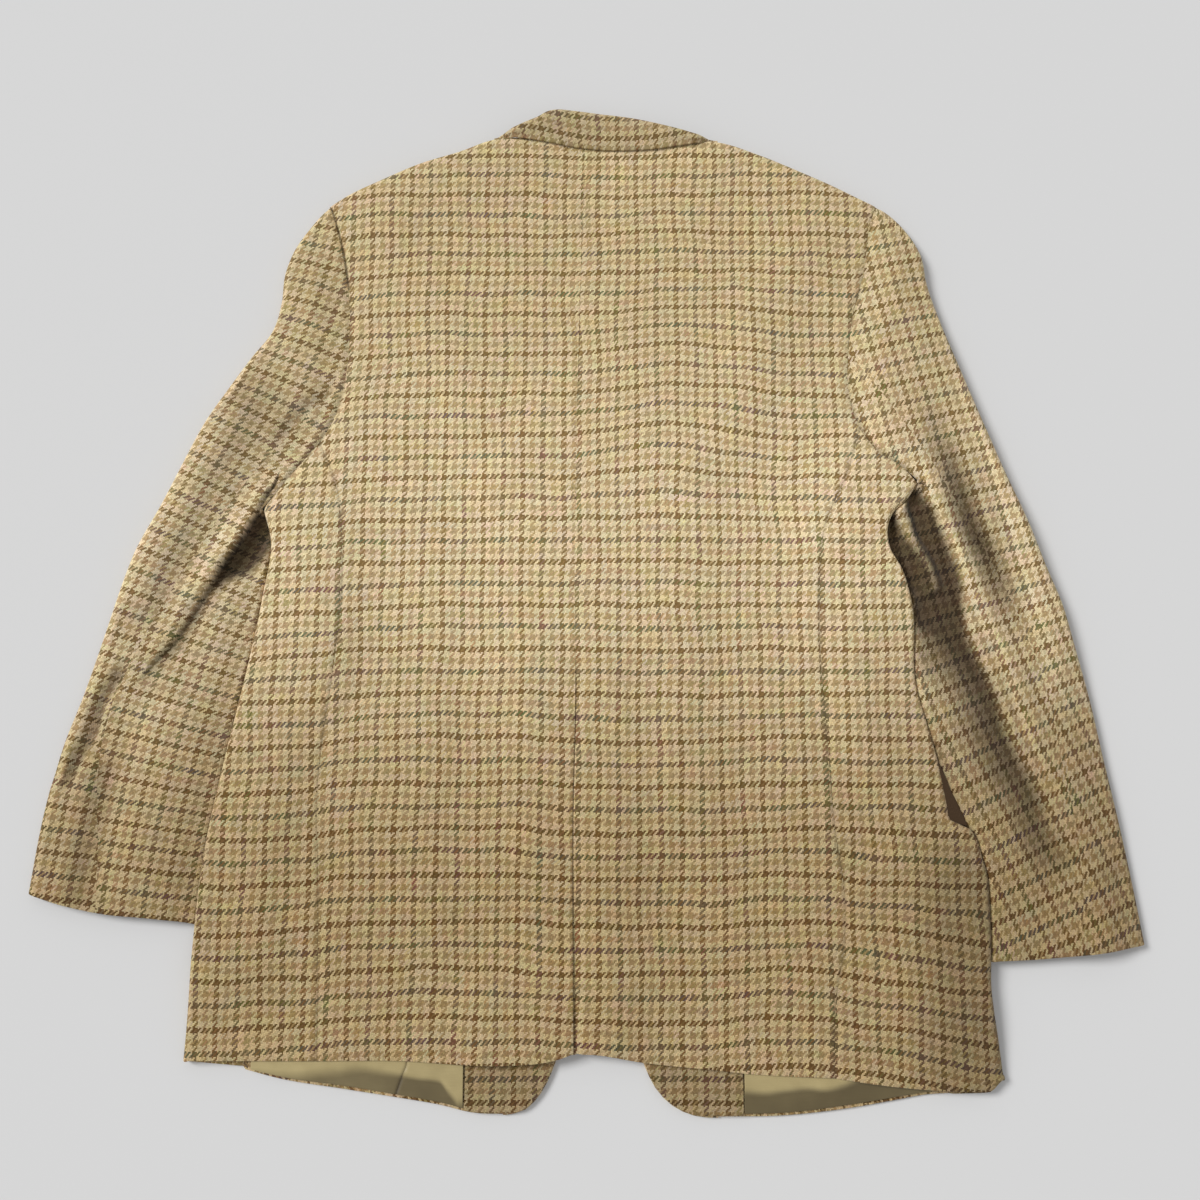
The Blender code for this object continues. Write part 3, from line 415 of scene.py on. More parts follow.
def cover(x, y, ring, margin, ramp):
    """1 on the ring's area and up to margin outside it, then down to 0 over the ramp."""
    ring = np.asarray(ring, float)
    inside = np.zeros(np.shape(x), bool)
    for a, b in zip(ring, np.roll(ring, -1, axis=0)):
        if a[1] != b[1]:
            crossing = (y > min(a[1], b[1])) & (y <= max(a[1], b[1]))
            inside ^= crossing & (x < a[0] + (y - a[1]) * (b[0] - a[0]) / (b[1] - a[1]))
    outside = np.where(inside, 0.0, distance(x, y, np.vstack([ring, ring[:1]])))
    return 1.0 - climb(outside, margin, margin + ramp)


def coons(side_a, side_b, end_a, end_b, across, along):
    """Plan grid [row, column] between four edges: their two blends less the corners' own."""
    u = np.asarray(across)[None, :, None]
    v = np.asarray(along)[:, None, None]
    corners = ((1 - u) * (1 - v) * side_a[0] + u * (1 - v) * side_b[0]
               + (1 - u) * v * side_a[-1] + u * v * side_b[-1])
    return ((1 - u) * side_a[:, None] + u * side_b[:, None]
            + (1 - v) * end_a[None] + v * end_b[None] - corners)


def toward(points, goals, by):
    """The points moved by a distance towards their goals."""
    return points + unit(goals - points) * by


def spread(count, gather=0.5):
    """Shares from 0 to 1 that gather towards both ends: t less a sine of 2 pi t."""
    t = shares(count)
    return t - gather * np.sin(2 * math.pi * t) / (2 * math.pi)


def raised(plan, z):
    """Plan points with their heights as a third column."""
    return np.concatenate([plan, np.asarray(z)[..., None]], axis=-1)


def tuck_ring(side):
    """The strip at the side fold below which the sleeve lies."""
    inner = SLEEVE_INNER[side].at(np.linspace(0.04, 1.0, 20))
    return np.concatenate([inner, inner[::-1] + (24.0 * OUTWARDS[side], 0.0)])


BUTTON_STRIP = ((-2, 40), (22, 40), (22, -190), (-2, -190))
# What lifts the fronts: its height, its ring on the plan, and its share of the margin round it.
LIFTS = [(BUTTON_HEIGHT + REST, BUTTON_STRIP, 1.0)]
for hand in SIDES:
    LIFTS += [(TUCKED + REST, tuck_ring(hand), 0.72),
              (LAPEL_WALL + REST + EASE, LAPEL_ROLL[hand] + LAPEL_EDGE[hand][::-1], 1.0),
              (LAPEL_WALL + REST + EASE, LEAF[hand], 1.0),
              (FLAP_WALL + REST + EASE, FLAP[hand], 1.0)]


def front_height(x, y, side, margin=28.0, ramp=30.0):
    """Height of a front's outer face, which lies downwards, over what it lies on."""
    z = np.zeros(np.shape(x))
    for height, ring, share in LIFTS:
        z = np.maximum(z, height * cover(x, y, ring, margin * share, ramp))
    if side == "right":
        z = z + (FRONT_WALL + REST) * cover(x, y, OVERLAP, margin, ramp)
    return z


def add_object(name, data):
    """An object in the scene that shows a mesh, a lamp or a camera."""
    made = bpy.data.objects.new(name, data)
    bpy.context.scene.collection.objects.link(made)
    return made


def cut_size(cut):
    """A cut's width, length and area in metres: its extent, and the sum of its cells' areas."""
    wide = np.ptp(cut[..., 0]) * MM
    long = np.ptp(cut[..., 1]) * MM
    a = cut[1:, 1:] - cut[:-1, :-1]
    b = cut[1:, :-1] - cut[:-1, 1:]
    area = np.abs(a[..., 0] * b[..., 1] - a[..., 1] * b[..., 0]).sum() / 2 * MM * MM
    return (wide, long), min(area, wide * long)


# How far an edge bulges beyond its panel, as a share of the wall.
SEWN = 0.04
FREE = 0.4
SHARP = math.radians(40.0)


def cloth(kind, side, grid, wall, cut, rests_on, finish=TWEED, slot="tweed", up=True,
          edges=(FREE, FREE, FREE, FREE), painted_shade=None):
    """A laid piece of cloth as a closed shell: the grid, a face under it, and a round edge.

    The inner face is the grid less its unit normals times the wall. What lies straight on the
    table has a normal that points straight down. Three loops of half an ellipse join the two
    faces round the edge: cosine times half the wall across it, and sine times a share of the wall
    outwards. edges holds that share for the first row, the last column, the last row and the
    first column. cut is the piece laid flat, in millimetres. The last argument is painted shade,
    from 1 in the bottom of a deep fold to 0 where nothing sinks it. The piece stands for the node
    of its kind and side, and rests_on names what it lies on.
    """
    name = "_".join(filter(None, (kind, "cloth", side)))
    rows, columns = grid.shape[:2]
    bulge = np.concatenate([np.broadcast_to(share, count) for share, count in
                            zip(edges, (columns, rows - 1, columns - 1, rows - 2))]) * wall
    n = unit(np.cross(np.gradient(grid, axis=1), np.gradient(grid, axis=0)))
    turn = (n[:, :2, 2].sum() > 0) != up
    if turn:
        n = -n
    n[grid[..., 2] < 1e-6] = (0.0, 0.0, -1.0)
    ring = np.concatenate([np.arange(columns), columns * np.arange(1, rows) + columns - 1,
                           (rows - 1) * columns + np.arange(columns - 2, -1, -1),
                           columns * np.arange(rows - 2, 0, -1)])
    flat = grid.reshape(-1, 3)
    face = n.reshape(-1, 3)
    below = flat - face * wall
    run = np.roll(flat[ring], -1, axis=0) - np.roll(flat[ring], 1, axis=0)
    out = unit(np.cross(run, face[ring]))
    middle = flat[ring].mean(axis=0)
    if ((flat[ring] - middle) * out).sum() < 0:
        out = -out
    loops = []
    for angle in (math.pi / 4, math.pi / 2, 3 * math.pi / 4):
        loops.append((flat[ring] + below[ring]) / 2 + face[ring] * wall / 2 * math.cos(angle)
                     + out * bulge[:, None] * math.sin(angle))
    points = np.concatenate([flat, below, *loops]) * MM
    plan = cut.reshape(-1, 2)
    plan = np.concatenate([plan, plan] + [plan[ring]] * 3) * MM

    size = rows * columns
    corner = (columns * np.arange(rows - 1)[:, None] + np.arange(columns - 1)).ravel()
    top = np.stack([corner, corner + 1, corner + columns + 1, corner + columns], axis=1)
    bottom = top[:, ::-1] + size
    chain = [ring] + [2 * size + k * len(ring) + np.arange(len(ring)) for k in range(3)] + [ring + size]
    edge = [np.stack([a, b, np.roll(b, -1), np.roll(a, -1)], axis=1) for a, b in zip(chain, chain[1:])]
    faces = np.concatenate([top, bottom, *edge])
    if turn:
        faces = faces[:, ::-1]

    mesh = bpy.data.meshes.new(name)
    mesh.vertices.add(len(points))
    mesh.vertices.foreach_set("co", points.ravel())
    mesh.loops.add(faces.size)
    mesh.loops.foreach_set("vertex_index", faces.ravel())
    mesh.polygons.add(len(faces))
    mesh.polygons.foreach_set("loop_start", np.arange(len(faces)) * 4)
    layer = mesh.uv_layers.new(name="cut")
    layer.uv.foreach_set("vector", plan[faces.ravel()].ravel())
    # The painted shade goes on the mesh as a point attribute, which the materials read.
    if painted_shade is not None:
        sunk = painted_shade.ravel()
        layer = mesh.attributes.new("painted_shade", "FLOAT", "POINT")
        layer.data.foreach_set("value", np.concatenate([sunk, sunk] + [sunk[ring]] * 3))
    mesh.update(calc_edges=True)
    mesh.validate()
    mesh.shade_smooth()
    mesh.set_sharp_from_angle(angle=SHARP)
    mesh.materials.append(finish)
    piece = add_object(name, mesh)
    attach(piece, "root")
    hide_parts("_".join(filter(None, (kind, side))))
    flat, area = cut_size(cut)
    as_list(rests_on)


def shoulder_roll(outline, inward, heights, goal, turning):
    """Rows that turn from a panel's face to the shoulder line, as a quarter of an ellipse.

    Where turning is 0 they stay level and end a quarter of the roll short of the outline.
    """
    rows = []
    for angle in np.linspace(0.0, math.pi / 2, 8)[1:]:
        held = 0.25 * (1 - turning[:, None]) * math.sin(angle)
        plan = outline + inward * SHOULDER_ROLL * (1 - math.sin(angle) + held)
        rows.append(raised(plan, heights + (goal - heights) * (1 - math.cos(angle)) * turning)[None])
    return np.concatenate(rows)


def front_top(side, count):
    """The shoulder line and the way down the panel from it."""
    start = unit(ARMHOLE_UNDER[side].at(0.05) - ARMHOLE_UNDER[side].at(0.0))
    end = unit(FRONT_EDGE[side].at(0.97) - FRONT_EDGE[side].at(1.0))
    t = shares(count)[:, None]
    return SHOULDER[side].at(shares(count)), unit((1 - t) * start + t * end)


def make_front(side):
    """A front: side seam and armhole on one edge, front edge and lapel's roll on the other."""
    columns = 60
    roll = SHOULDER_ROLL / ARMHOLE_UNDER[side].length
    high = ARMHOLE_UNDER[side].at(np.linspace(SIDE_SHARE, roll, 44)[1:])
    edge = np.vstack([SEAM_UNDER[side].at(shares(70)), high])
    along = run_lengths(edge)
    along = along / along[-1]
    across = spread(columns)
    line, inward = front_top(side, columns)
    top = line + inward * SHOULDER_ROLL
    opening = FRONT_EDGE[side].at(along * (1 - SHOULDER_ROLL / FRONT_EDGE[side].length))
    opening[-1] = top[-1]
    edge[-1] = top[0]
    edge = toward(edge, opening, GAP)
    opening = toward(opening, edge, RIM)
    top[0] = edge[-1]
    top[-1] = opening[-1]
    hem = FRONT_HEM[side].at(across) + (0.0, RIM)
    hem[0] = edge[0]
    hem[-1] = opening[0]
    grid = coons(edge, opening, hem, top, across, along)
    z = front_height(grid[..., 0], grid[..., 1], side)
    inside = line + (0.0, -SHOULDER_ROLL)
    below = front_height(inside[:, 0], inside[:, 1], side)
    goal = (back_height(inside[:, 0], inside[:, 1]) + below) / 2 - 0.2
    rolled = shoulder_roll(line, inward, z[-1], goal, np.ones(columns))
    grid = np.concatenate([raised(grid, z), rolled])
    cut = grid[..., :2] * (-1.0, 1.0)
    cloth("front", side, grid, FRONT_WALL, cut, ["table"], up=False, edges=(FREE, FREE, SEWN, SEWN))


# --- Backs -------------------------------------------------------------------------------------
# Two back panels, sewn down the centre and left open below y = -93 as a single vent: the right
# one runs on 35 mm under the left. Their hems are turned up, which makes the lower edge thicker.

BACK_WALL = 2.6
ROOM = 2.6
PADDING = 4.0
VENT_LAP = 35.0
VENT_DROP = BACK_WALL + 0.8
FACING_WALL = 1.6
HEM_TOP = -302.0  # where the backs start to come down to their hems
SEAM_SHARE = 0.675  # share of a back's rows that lie along its side seam
LAP_COLUMNS = 13
VENT_RING = ((-46, -90), (-8, -90), (-8, -382), (-46, -382))
NECK_POINTS = {"left": ((-55, 405), (-28, 401), (-1, 399)),
               "right": ((100, 402), (75, 400), (45, 398), (20, 398), (-1, 399))}
BACK_TOP = {side: Curve(*SHOULDER_POINTS[side], *NECK_POINTS[side]) for side in SIDES}
ARMHOLE = {
    "left": Curve((-229, 341), (-221, 316), (-213, 278), (-208, 232), (-209, 192), (-213, 162),
                  (-224, 133), (-246, 101), (-275, 61)),
    "right": Curve((259, 341), (252, 316), (246, 276), (237, 245), (231, 209), (229, 181),
                   (232, 153), (240, 130), (254, 111), (272, 99), (285, 84)),
}
SIDE_SEAM = {
    side: Curve(*points, ARMHOLE[side].at(SIDE_SHARE)) for side, points in (
        ("left", ((-213, -388), (-216, -259), (-220, -170), (-218, -140), (-211, -81), (-206, -17),
                  (-207, 40), (-214, 85))),
        ("right", ((199, -401), (202, -342), (210, -297), (211, -256), (205, -207), (202, -157),
                   (200, -114), (198, -81), (198, -17), (205, 49), (223, 89))))
}
BACK_HEM = {
    "left": Curve((-213, -388), (-145, -388), (-92, -391), (-63, -391), (-20, -386), (-9, -382)),
    "right": Curve((199, -401), (160, -399.5), (125, -397.3), (104, -395), (46, -389), (12, -383),
                   (-9, -382)),
}
CENTRE_BACK = Curve((-9, -382), (-10, -183), (-8, -93), (-9, 18), (-8, 114), (-5, 251), (-1, 399))
BACK_FOLDS = (
    # height, half width, run
    (1.4, 34, ((-262, 82), (-205, 60), (-150, 62), (-80, 84))),
    (1.2, 30, ((-250, 20), (-215, -40), (-205, -130))),
    (1.5, 30, ((262, 60), (215, 30), (170, 26), (110, 40))),
    (1.3, 34, ((250, 10), (225, -70), (228, -150))),
    (1.0, 40, ((-170, 320), (-120, 240), (-100, 150))),
    (1.0, 40, ((200, 320), (150, 240), (130, 140))),
    (1.1, 34, ((90, -120), (110, -240), (104, -360))),
    (1.1, 34, ((-120, -110), (-130, -240), (-118, -350))),
)


def back_height(x, y):
    """Height of the backs' outer face: the fronts' inner face, what lies on it, room, a wall."""
    below = front_height(x, y, "right", margin=38.0, ramp=64.0) + FRONT_WALL
    hem = climb(y, HEM_TOP, HEM_TOP - 34.0)
    lap = cover(x, y, VENT_RING, 24.0, 44.0)
    room = ROOM - 1.7 * cover(x, y, OVERLAP, 30.0, 60.0)
    for side in SIDES:
        reach = distance(x, y, SHOULDER[side].line[::6])
        room = room + PADDING * (1.0 - climb(reach, 12.0, 82.0))
    for height, half, run in BACK_FOLDS:
        room = room + height * smooth(1.0 - distance(x, y, run) / half)
    room = room * (1 - hem) + 0.6 * hem
    room = room * (1 - lap) + np.maximum(room, VENT_DROP + REST + EASE) * lap
    return below + hem * (REST + EASE + FACING_WALL) + room + BACK_WALL


def fold(x, y, height, west, east, run):
    """A crease: its height on a run that goes down the plan, less over its west and east widths.

    Each of the three is a number, or several spread along the run. A height that is one number
    tapers towards both ends of the run.
    """
    run = np.asarray(run, float)
    steps = np.linalg.norm(np.diff(run, axis=0), axis=1)
    reach = np.full(np.shape(x), 1e9)
    beside = 0.0 * x
    share = 0.0 * x
    gone = 0.0
    for a, b, step in zip(run, run[1:], steps):
        d = (b - a) / step
        t = np.clip((x - a[0]) * d[0] + (y - a[1]) * d[1], 0.0, step)
        away = np.hypot(x - a[0] - t * d[0], y - a[1] - t * d[1])
        closer = away < reach
        beside = np.where(closer, d[0] * (y - a[1]) - d[1] * (x - a[0]), beside)
        share = np.where(closer, (gone + t) / steps.sum(), share)
        reach = np.where(closer, away, reach)
        gone += step
    ends = smooth(share / 0.15) * smooth((1 - share) / 0.15) if np.size(height) == 1 else 1.0
    height, west, east = (np.interp(share, np.linspace(0, 1, np.size(v)), np.ravel(v))
                          for v in (height, west, east))
    return height * ends * smooth(1 - reach / np.where(beside < 0, west, east))


def groove(x, y, run, depth, half):
    """How far the cloth dips at a sewn seam: a bell of the distance to it."""
    return depth * np.exp(-(distance(x, y, run) / half) ** 2)


def drift(x, y, height, seed):
    """Slow unevenness of cloth that lies free: seven crossed waves 45 to 130 mm long."""
    random = np.random.default_rng(seed)
    z = 0.0 * x
    for _ in range(7):
        angle, phase = random.uniform(0, 2 * math.pi, 2)
        wave = 2 * math.pi / random.uniform(45, 130)
        z = z + np.sin((x * math.cos(angle) + y * math.sin(angle)) * wave + phase) / 7
    return height * z


HUMP = Curve((102, 373), (92, 316), (87, 281), (83, 251), (74, 184), (66, 147), (58, 110), (54, 69),
             (50, 34)).at(shares(40))
HUMP_HEIGHTS = (0, 2, 4, 6.5, 9.5, 10.5, 9, 5, 0)
CUT_STRETCH = 0.977  # cloth in a millimetre of the plan, along the grain
CUT_DRIFT = 2.6  # how far the check's rows and columns wander


def body_cut(x, y):
    """The place on the cloth of a point of the backs and side bodies.

    The rows of the check sink towards the left fold and, below, towards the right one and the
    centre. They rise over a soft hump on the right shoulder blade. The cloth is stretched a
    little down its length.
    """
    at_left = climb(x, -140.0, -290.0)
    at_right = climb(x, 150.0, 410.0) * climb(y, -140.0, -370.0)
    at_centre = climb(x, -60.0, 10.0) * climb(x, 170.0, 90.0) * climb(y, 20.0, -160.0)
    sunk = 8.0 * at_left + 26.0 * at_right + 4.0 * at_centre
    sunk = sunk - fold(x, y, HUMP_HEIGHTS, 86, 125, HUMP) + drift(x, y, CUT_DRIFT, 5)
    return np.stack([x + drift(x, y, CUT_DRIFT, 7), CUT_STRETCH * y + sunk], axis=-1)


def seam_grooves(x, y, side, seam, hole):
    """Dips along the side seam and the armhole, each with its depth and half width."""
    return (groove(x, y, SIDE_SEAM[side].line[::3], *seam)
            + groove(x, y, ARMHOLE[side].line[::3], *hole))


def seam_shade(x, y, side):
    """Painted shade at the side seam and the armhole, where the cloth dips into the sewing."""
    return seam_grooves(x, y, side, (0.30, 1.6), (0.22, 2.2))


def back_face(x, y):
    """The backs' outer face with its seams and its unevenness."""
    z = back_height(x, y) + drift(x, y, 0.9, 3) * climb(y, -388.0, -328.0)
    for side in SIDES:
        z = z - seam_grooves(x, y, side, (0.7, 1.8), (1.3, 3.0))
    return z - groove(x, y, CENTRE_BACK.at(np.linspace(0.36, 1.0, 30)), 0.25, 2.0)


def make_back(side):
    """A back panel: side seam and armhole on one edge, centre back on the other.

    The right one has more columns, which run on under the left one at the vent.
    """
    roll = SHOULDER_ROLL / ARMHOLE[side].length
    low = SIDE_SEAM[side].at(shares(112))
    high = ARMHOLE[side].at(np.linspace(SIDE_SHARE, roll, 62)[1:])
    edge = np.vstack([low, high])
    climbed = run_lengths(np.vstack([low[-1:], high]))[1:]
    along = np.concatenate([SEAM_SHARE * shares(112),
                            SEAM_SHARE + (1 - SEAM_SHARE) * climbed / climbed[-1]])
    corner = SHOULDER[side].length / BACK_TOP[side].length
    across = np.concatenate([spread(64, 0.35) * corner, corner + (1 - corner) * shares(40)[1:]])
    outline = BACK_TOP[side].at(across)
    inside = outline + (0.0, -SHOULDER_ROLL)
    below = front_height(inside[:, 0], inside[:, 1], side)
    middle = (back_height(inside[:, 0], inside[:, 1]) + below) / 2
    centre = CENTRE_BACK.at(along * (1 - SHOULDER_ROLL / CENTRE_BACK.length))
    start = unit(ARMHOLE[side].at(0.05) - ARMHOLE[side].at(0.0))
    inward = unit((1 - across[:, None]) * start + across[:, None] * (0.0, -1.0))
    top = outline + inward * SHOULDER_ROLL
    top[0] = edge[-1]
    centre[-1] = top[-1]
    edge = toward(edge, centre, GAP)
    hem = BACK_HEM[side].at(across) + (0.0, RIM)
    hem[0] = edge[0]
    hem[-1] = centre[0]
    top[0] = edge[-1]
    grid = coons(edge, centre, hem, top, across, along)
    vent = climb(centre[:, 1], -98.0, -126.0)
    if side == "left":
        grid[:, -1, 0] = centre[:, 0] - GAP - 0.5 * vent
        z = back_face(grid[..., 0], grid[..., 1])
    else:
        opened = GAP + 1.2 * vent
        drop = VENT_DROP * climb(centre[:, 1], -56.0, -92.0)
        grid[:, -1, 0] = centre[:, 0] + opened
        lap = shares(LAP_COLUMNS + 1)[1:]
        under = np.repeat(centre[:, None], LAP_COLUMNS, axis=1)
        under[..., 0] += opened[:, None] - (0.2 + (VENT_LAP - 0.2) * vent)[:, None] * lap
        z = back_face(grid[..., 0], grid[..., 1])
        dip = drop * (0.35 + 0.5 * climb(centre[:, 1], -180.0, -360.0))
        z -= dip[:, None] * (1 - smooth((grid[..., 0] - centre[:, :1]) / 10.0))
        tucked = back_height(under[..., 0], under[..., 1]) - drop[:, None]
        grid = np.concatenate([grid, under], axis=1)
        z = np.concatenate([z, tucked], axis=1)
        beside = grid[-1, -LAP_COLUMNS:, :1] - centre[-1, 0]
        outline = np.vstack([outline, outline[-1:] + beside * (1.0, 0.0)])
        inward = np.vstack([inward, np.repeat(inward[-1:], LAP_COLUMNS, axis=0)])
        middle = np.concatenate([middle, np.repeat(middle[-1], LAP_COLUMNS)])
        across = np.concatenate([across, np.ones(LAP_COLUMNS)])
    turning = 1.0 - climb(across, 0.75 * corner, 1.25 * corner)
    outline[0] = outline[0] + edge[-1] - ARMHOLE[side].at(roll)
    rolled = shoulder_roll(outline, inward, z[-1], middle + 0.2, turning)
    grid = np.concatenate([raised(grid, z), rolled])
    x, y = grid[..., 0], grid[..., 1]
    cut = body_cut(x, y) + ((0.0, 0.0) if side == "left" else (4.0, 0.0))
    seam = SEWN
    if side == "left":
        seam = np.concatenate([SEWN + (FREE - SEWN) * vent[1:], np.full(len(rolled), SEWN)])
    # The backs get painted shade along the side seam and the armhole.
    cloth("back", side, grid, BACK_WALL, cut, ["front_cloth_" + side], edges=(FREE, seam, SEWN, SEWN),
          painted_shade=seam_shade(x, y, side))


for hand in SIDES:
    make_front(hand)
    make_back(hand)

# --- Side bodies -------------------------------------------------------------------------------
# A narrow tweed panel on each side, sewn to the back and the front. It wraps round the side fold,
# which lies on the sleeve.

SIDE_ROLL = 5.0
SIDE_FOLD = {
    "left": Curve((-320, -388), (-317, -328), (-315, -282), (-313, -247), (-298, -151), (-285, -86),
                  (-273, -16), (-268, 36), (-275, 61)),
    "right": Curve((335, -412), (331, -375), (326, -328), (327, -310), (328, -266), (327, -241),
                   (324, -229), (317.5, -209), (312.7, -204.6), (301.5, -201), (299, -198.5),
                   (297.8, -190), (293.5, -162), (292, -154), (286, -128), (277, -93), (275, -14),
                   (269, 9), (259, 29), (258, 46), (262, 57), (275, 70), (285, 84)),
}
SIDE_ROWS = (
    # share of the side seam, left fold y, right fold y
    (0.000, -388.0, -412.0),
    (0.104, -345.0, -368.0),
    (0.200, -302.0, -322.0),
    (0.281, -262.0, -275.0),
    (0.356, -224.0, -229.0),
    (0.385, -208.0, -209.0),
    (0.407, -196.0, -197.0),
    (0.481, -156.0, -155.0),
    (0.548, -118.0, -118.0),
    (0.615, -82.0, -82.0),
    (0.711, -40.0, -40.0),
    (0.815, 0.0, 4.0),
    (0.919, 33.0, 44.0),
    (0.963, 48.0, 62.0),
    (1.000, 61.0, 84.0),
)


def turn_edge(rim, above, below, high, low, steps):
    """Columns of half an ellipse from the edge of one face round a rim to the face below."""
    columns = []
    for angle in np.linspace(0.0, math.pi, steps):
        start = above if angle <= math.pi / 2 else below
        plan = rim + (start - rim) * (1 - math.sin(angle))
        columns.append(raised(plan, (high + low) / 2 + (high - low) / 2 * math.cos(angle)))
    return np.stack(columns, axis=1)


def make_side(side):
    """A side body: from the back's seam over the side fold to the front's seam underneath.

    The right one's hem bows down, its outer corner is rounded, and above them it is painted darker as
    shade.
    """
    share = shares(150)
    last = 29
    seam_share, *fold_heights = zip(*SIDE_ROWS)
    y = np.interp(share, seam_share, fold_heights[SIDES.index(side)])
    fold = SIDE_FOLD[side].at(SIDE_FOLD[side].share_at(y))
    hole = ARMHOLE[side]
    under_hole = ARMHOLE_UNDER[side]
    upper_seam = SIDE_SEAM[side].at(share)
    under_seam = SEAM_UNDER[side].at(share)
    columns = spread(last + 1, 0.4)
    top = hole.at(SIDE_SHARE + (1 - SIDE_ROLL / hole.length - SIDE_SHARE) * columns)
    inset = toward(fold, upper_seam, SIDE_ROLL)
    inset[-1] = top[-1]
    edge = toward(upper_seam, fold, GAP)
    top[0] = edge[-1]
    hem = edge[0] + (inset[0] - edge[0]) * columns[:, None] + (0.0, RIM)
    if side == "right":
        hem[:, 1] -= 12.0 * columns * (1 - columns)
    upper = coons(edge, inset, hem, top, columns, share)
    columns = shares(14)
    top = under_hole.at(1 - SIDE_ROLL / under_hole.length
                        + (SIDE_SHARE - 1 + SIDE_ROLL / under_hole.length) * columns)
    inset_under = toward(fold, under_seam, SIDE_ROLL)
    inset_under[-1] = top[0]
    edge = toward(under_seam, fold, GAP)
    top[-1] = edge[-1]
    hem = inset_under[0] + (edge[0] - inset_under[0]) * columns[:, None]
    under = coons(inset_under, edge, hem, top, columns, share)
    for part in (upper, under, fold):
        part[-1] = toward(part[-1], part[-2], GAP)
    high = back_face(upper[..., 0], upper[..., 1])
    low = front_height(under[..., 0], under[..., 1], side)
    turned = turn_edge(fold, upper[:, -1], under[:, 0], high[:, -1], low[:, 0], 15)[:, 1:-1]
    grid = np.concatenate([raised(upper, high), turned, raised(under, low)], axis=1)
    x, y = grid[..., 0], grid[..., 1]
    # Painted shade along the seams; on the right it also darkens the lower outer side body.
    painted_shade = seam_shade(x, y, side)
    if side == "right":
        painted_shade += 0.31 * climb(x, 240.0, 300.0) * climb(y, -180.0, -260.0)
        y += 10.0 * climb(x, 320.0, 334.0) * climb(y, -396.0, -412.0)
    cut = body_cut(x, y) + (2.0, 1.5)
    wrapped = run_lengths(grid[:, last:], 1)
    cut[:, last:, 0] = cut[:, last:last + 1, 0] + OUTWARDS[side] * wrapped
    cloth("side", side, grid, BACK_WALL, cut, ["sleeve_top_cloth_" + side],
          edges=(FREE, SEWN, SEWN, SEWN), painted_shade=painted_shade)


for hand in SIDES:
    make_side(hand)

# --- Sleeves -----------------------------------------------------------------------------------
# Two-piece tweed sleeves. The top sleeve wraps round the outer fold and under the arm, and the
# under sleeve is the part of the upper side between the hind seam and the body, which lies on it.

OUTER_FOLD = {
    "left": Curve((-229, 341), (-245, 322), (-259, 300), (-267, 276), (-269, 248), (-275, 224),
                  (-292, 200), (-329, 141), (-364, 66), (-384, 24), (-397, -17), (-415, -81),
                  (-437, -152), (-448, -208), (-453.5, -258)),
    "right": Curve((259, 341), (273, 331), (287, 315), (298, 294), (302, 268), (310, 239), (333, 173),
                   (362, 94), (377, 56), (392, 12), (403, -18), (411, -52), (422, -100),
                   (429.5, -145), (438, -194), (446, -243), (453.5, -298)),
}
HIND_SEAM = {
    "left": ((-230, 160), (-288, 87), (-343, 0), (-374, -59), (-389, -93), (-399, -138), (-401, -183),
             (-397, -223)),
    "right": ((252, 172), (304, 92), (350, 5), (375, -62), (387, -110), (394, -160), (402, -210),
              (403, -258)),
}
CUFF = {
    "left": Curve((-453.5, -258), (-422, -267), (-387, -274), (-353, -277), (-315, -282), (-300, -286)),
    "right": Curve((453.5, -298), (414, -304), (365, -309), (326, -311), (309, -313)),
}
HIND_SHARE = 0.5  # share of the armhole at which the hind seam starts
HIND_CUFF = 0.38  # share of the cuff at which it ends
SLEEVE_ROLL = (6.0, 9.0)  # how far from the outer fold the cloth turns, at the shoulder and cuff
PIT_ROW = 7.0
CUFF_ROW = 16.0
SLEEVE_ROWS = (
    # how far the rows have come down the outer fold, the hind seam and the inner edge
    (0.000, 0.000, 0.00),
    (0.045, 0.045, 0.00),
    (0.090, 0.090, 0.00),
    (0.135, 0.135, 0.00),
    (0.180, 0.180, 0.00),
    (0.230, 0.225, 0.00),
    (0.290, 0.270, 0.00),
    (0.360, 0.320, 0.00),
    (0.430, 0.385, 0.11),
    (0.500, 0.455, 0.22),
    (0.570, 0.530, 0.33),
    (0.640, 0.605, 0.44),
    (0.710, 0.680, 0.55),
    (0.785, 0.755, 0.66),
    (0.860, 0.835, 0.77),
    (0.930, 0.915, 0.89),
    (1.000, 1.000, 1.00),
)
SLEEVE_CROWN = ((0.00, 14.0), (0.15, 15.5), (0.35, 16.0), (0.60, 14.5), (0.85, 12.5), (1.00, 11.0))
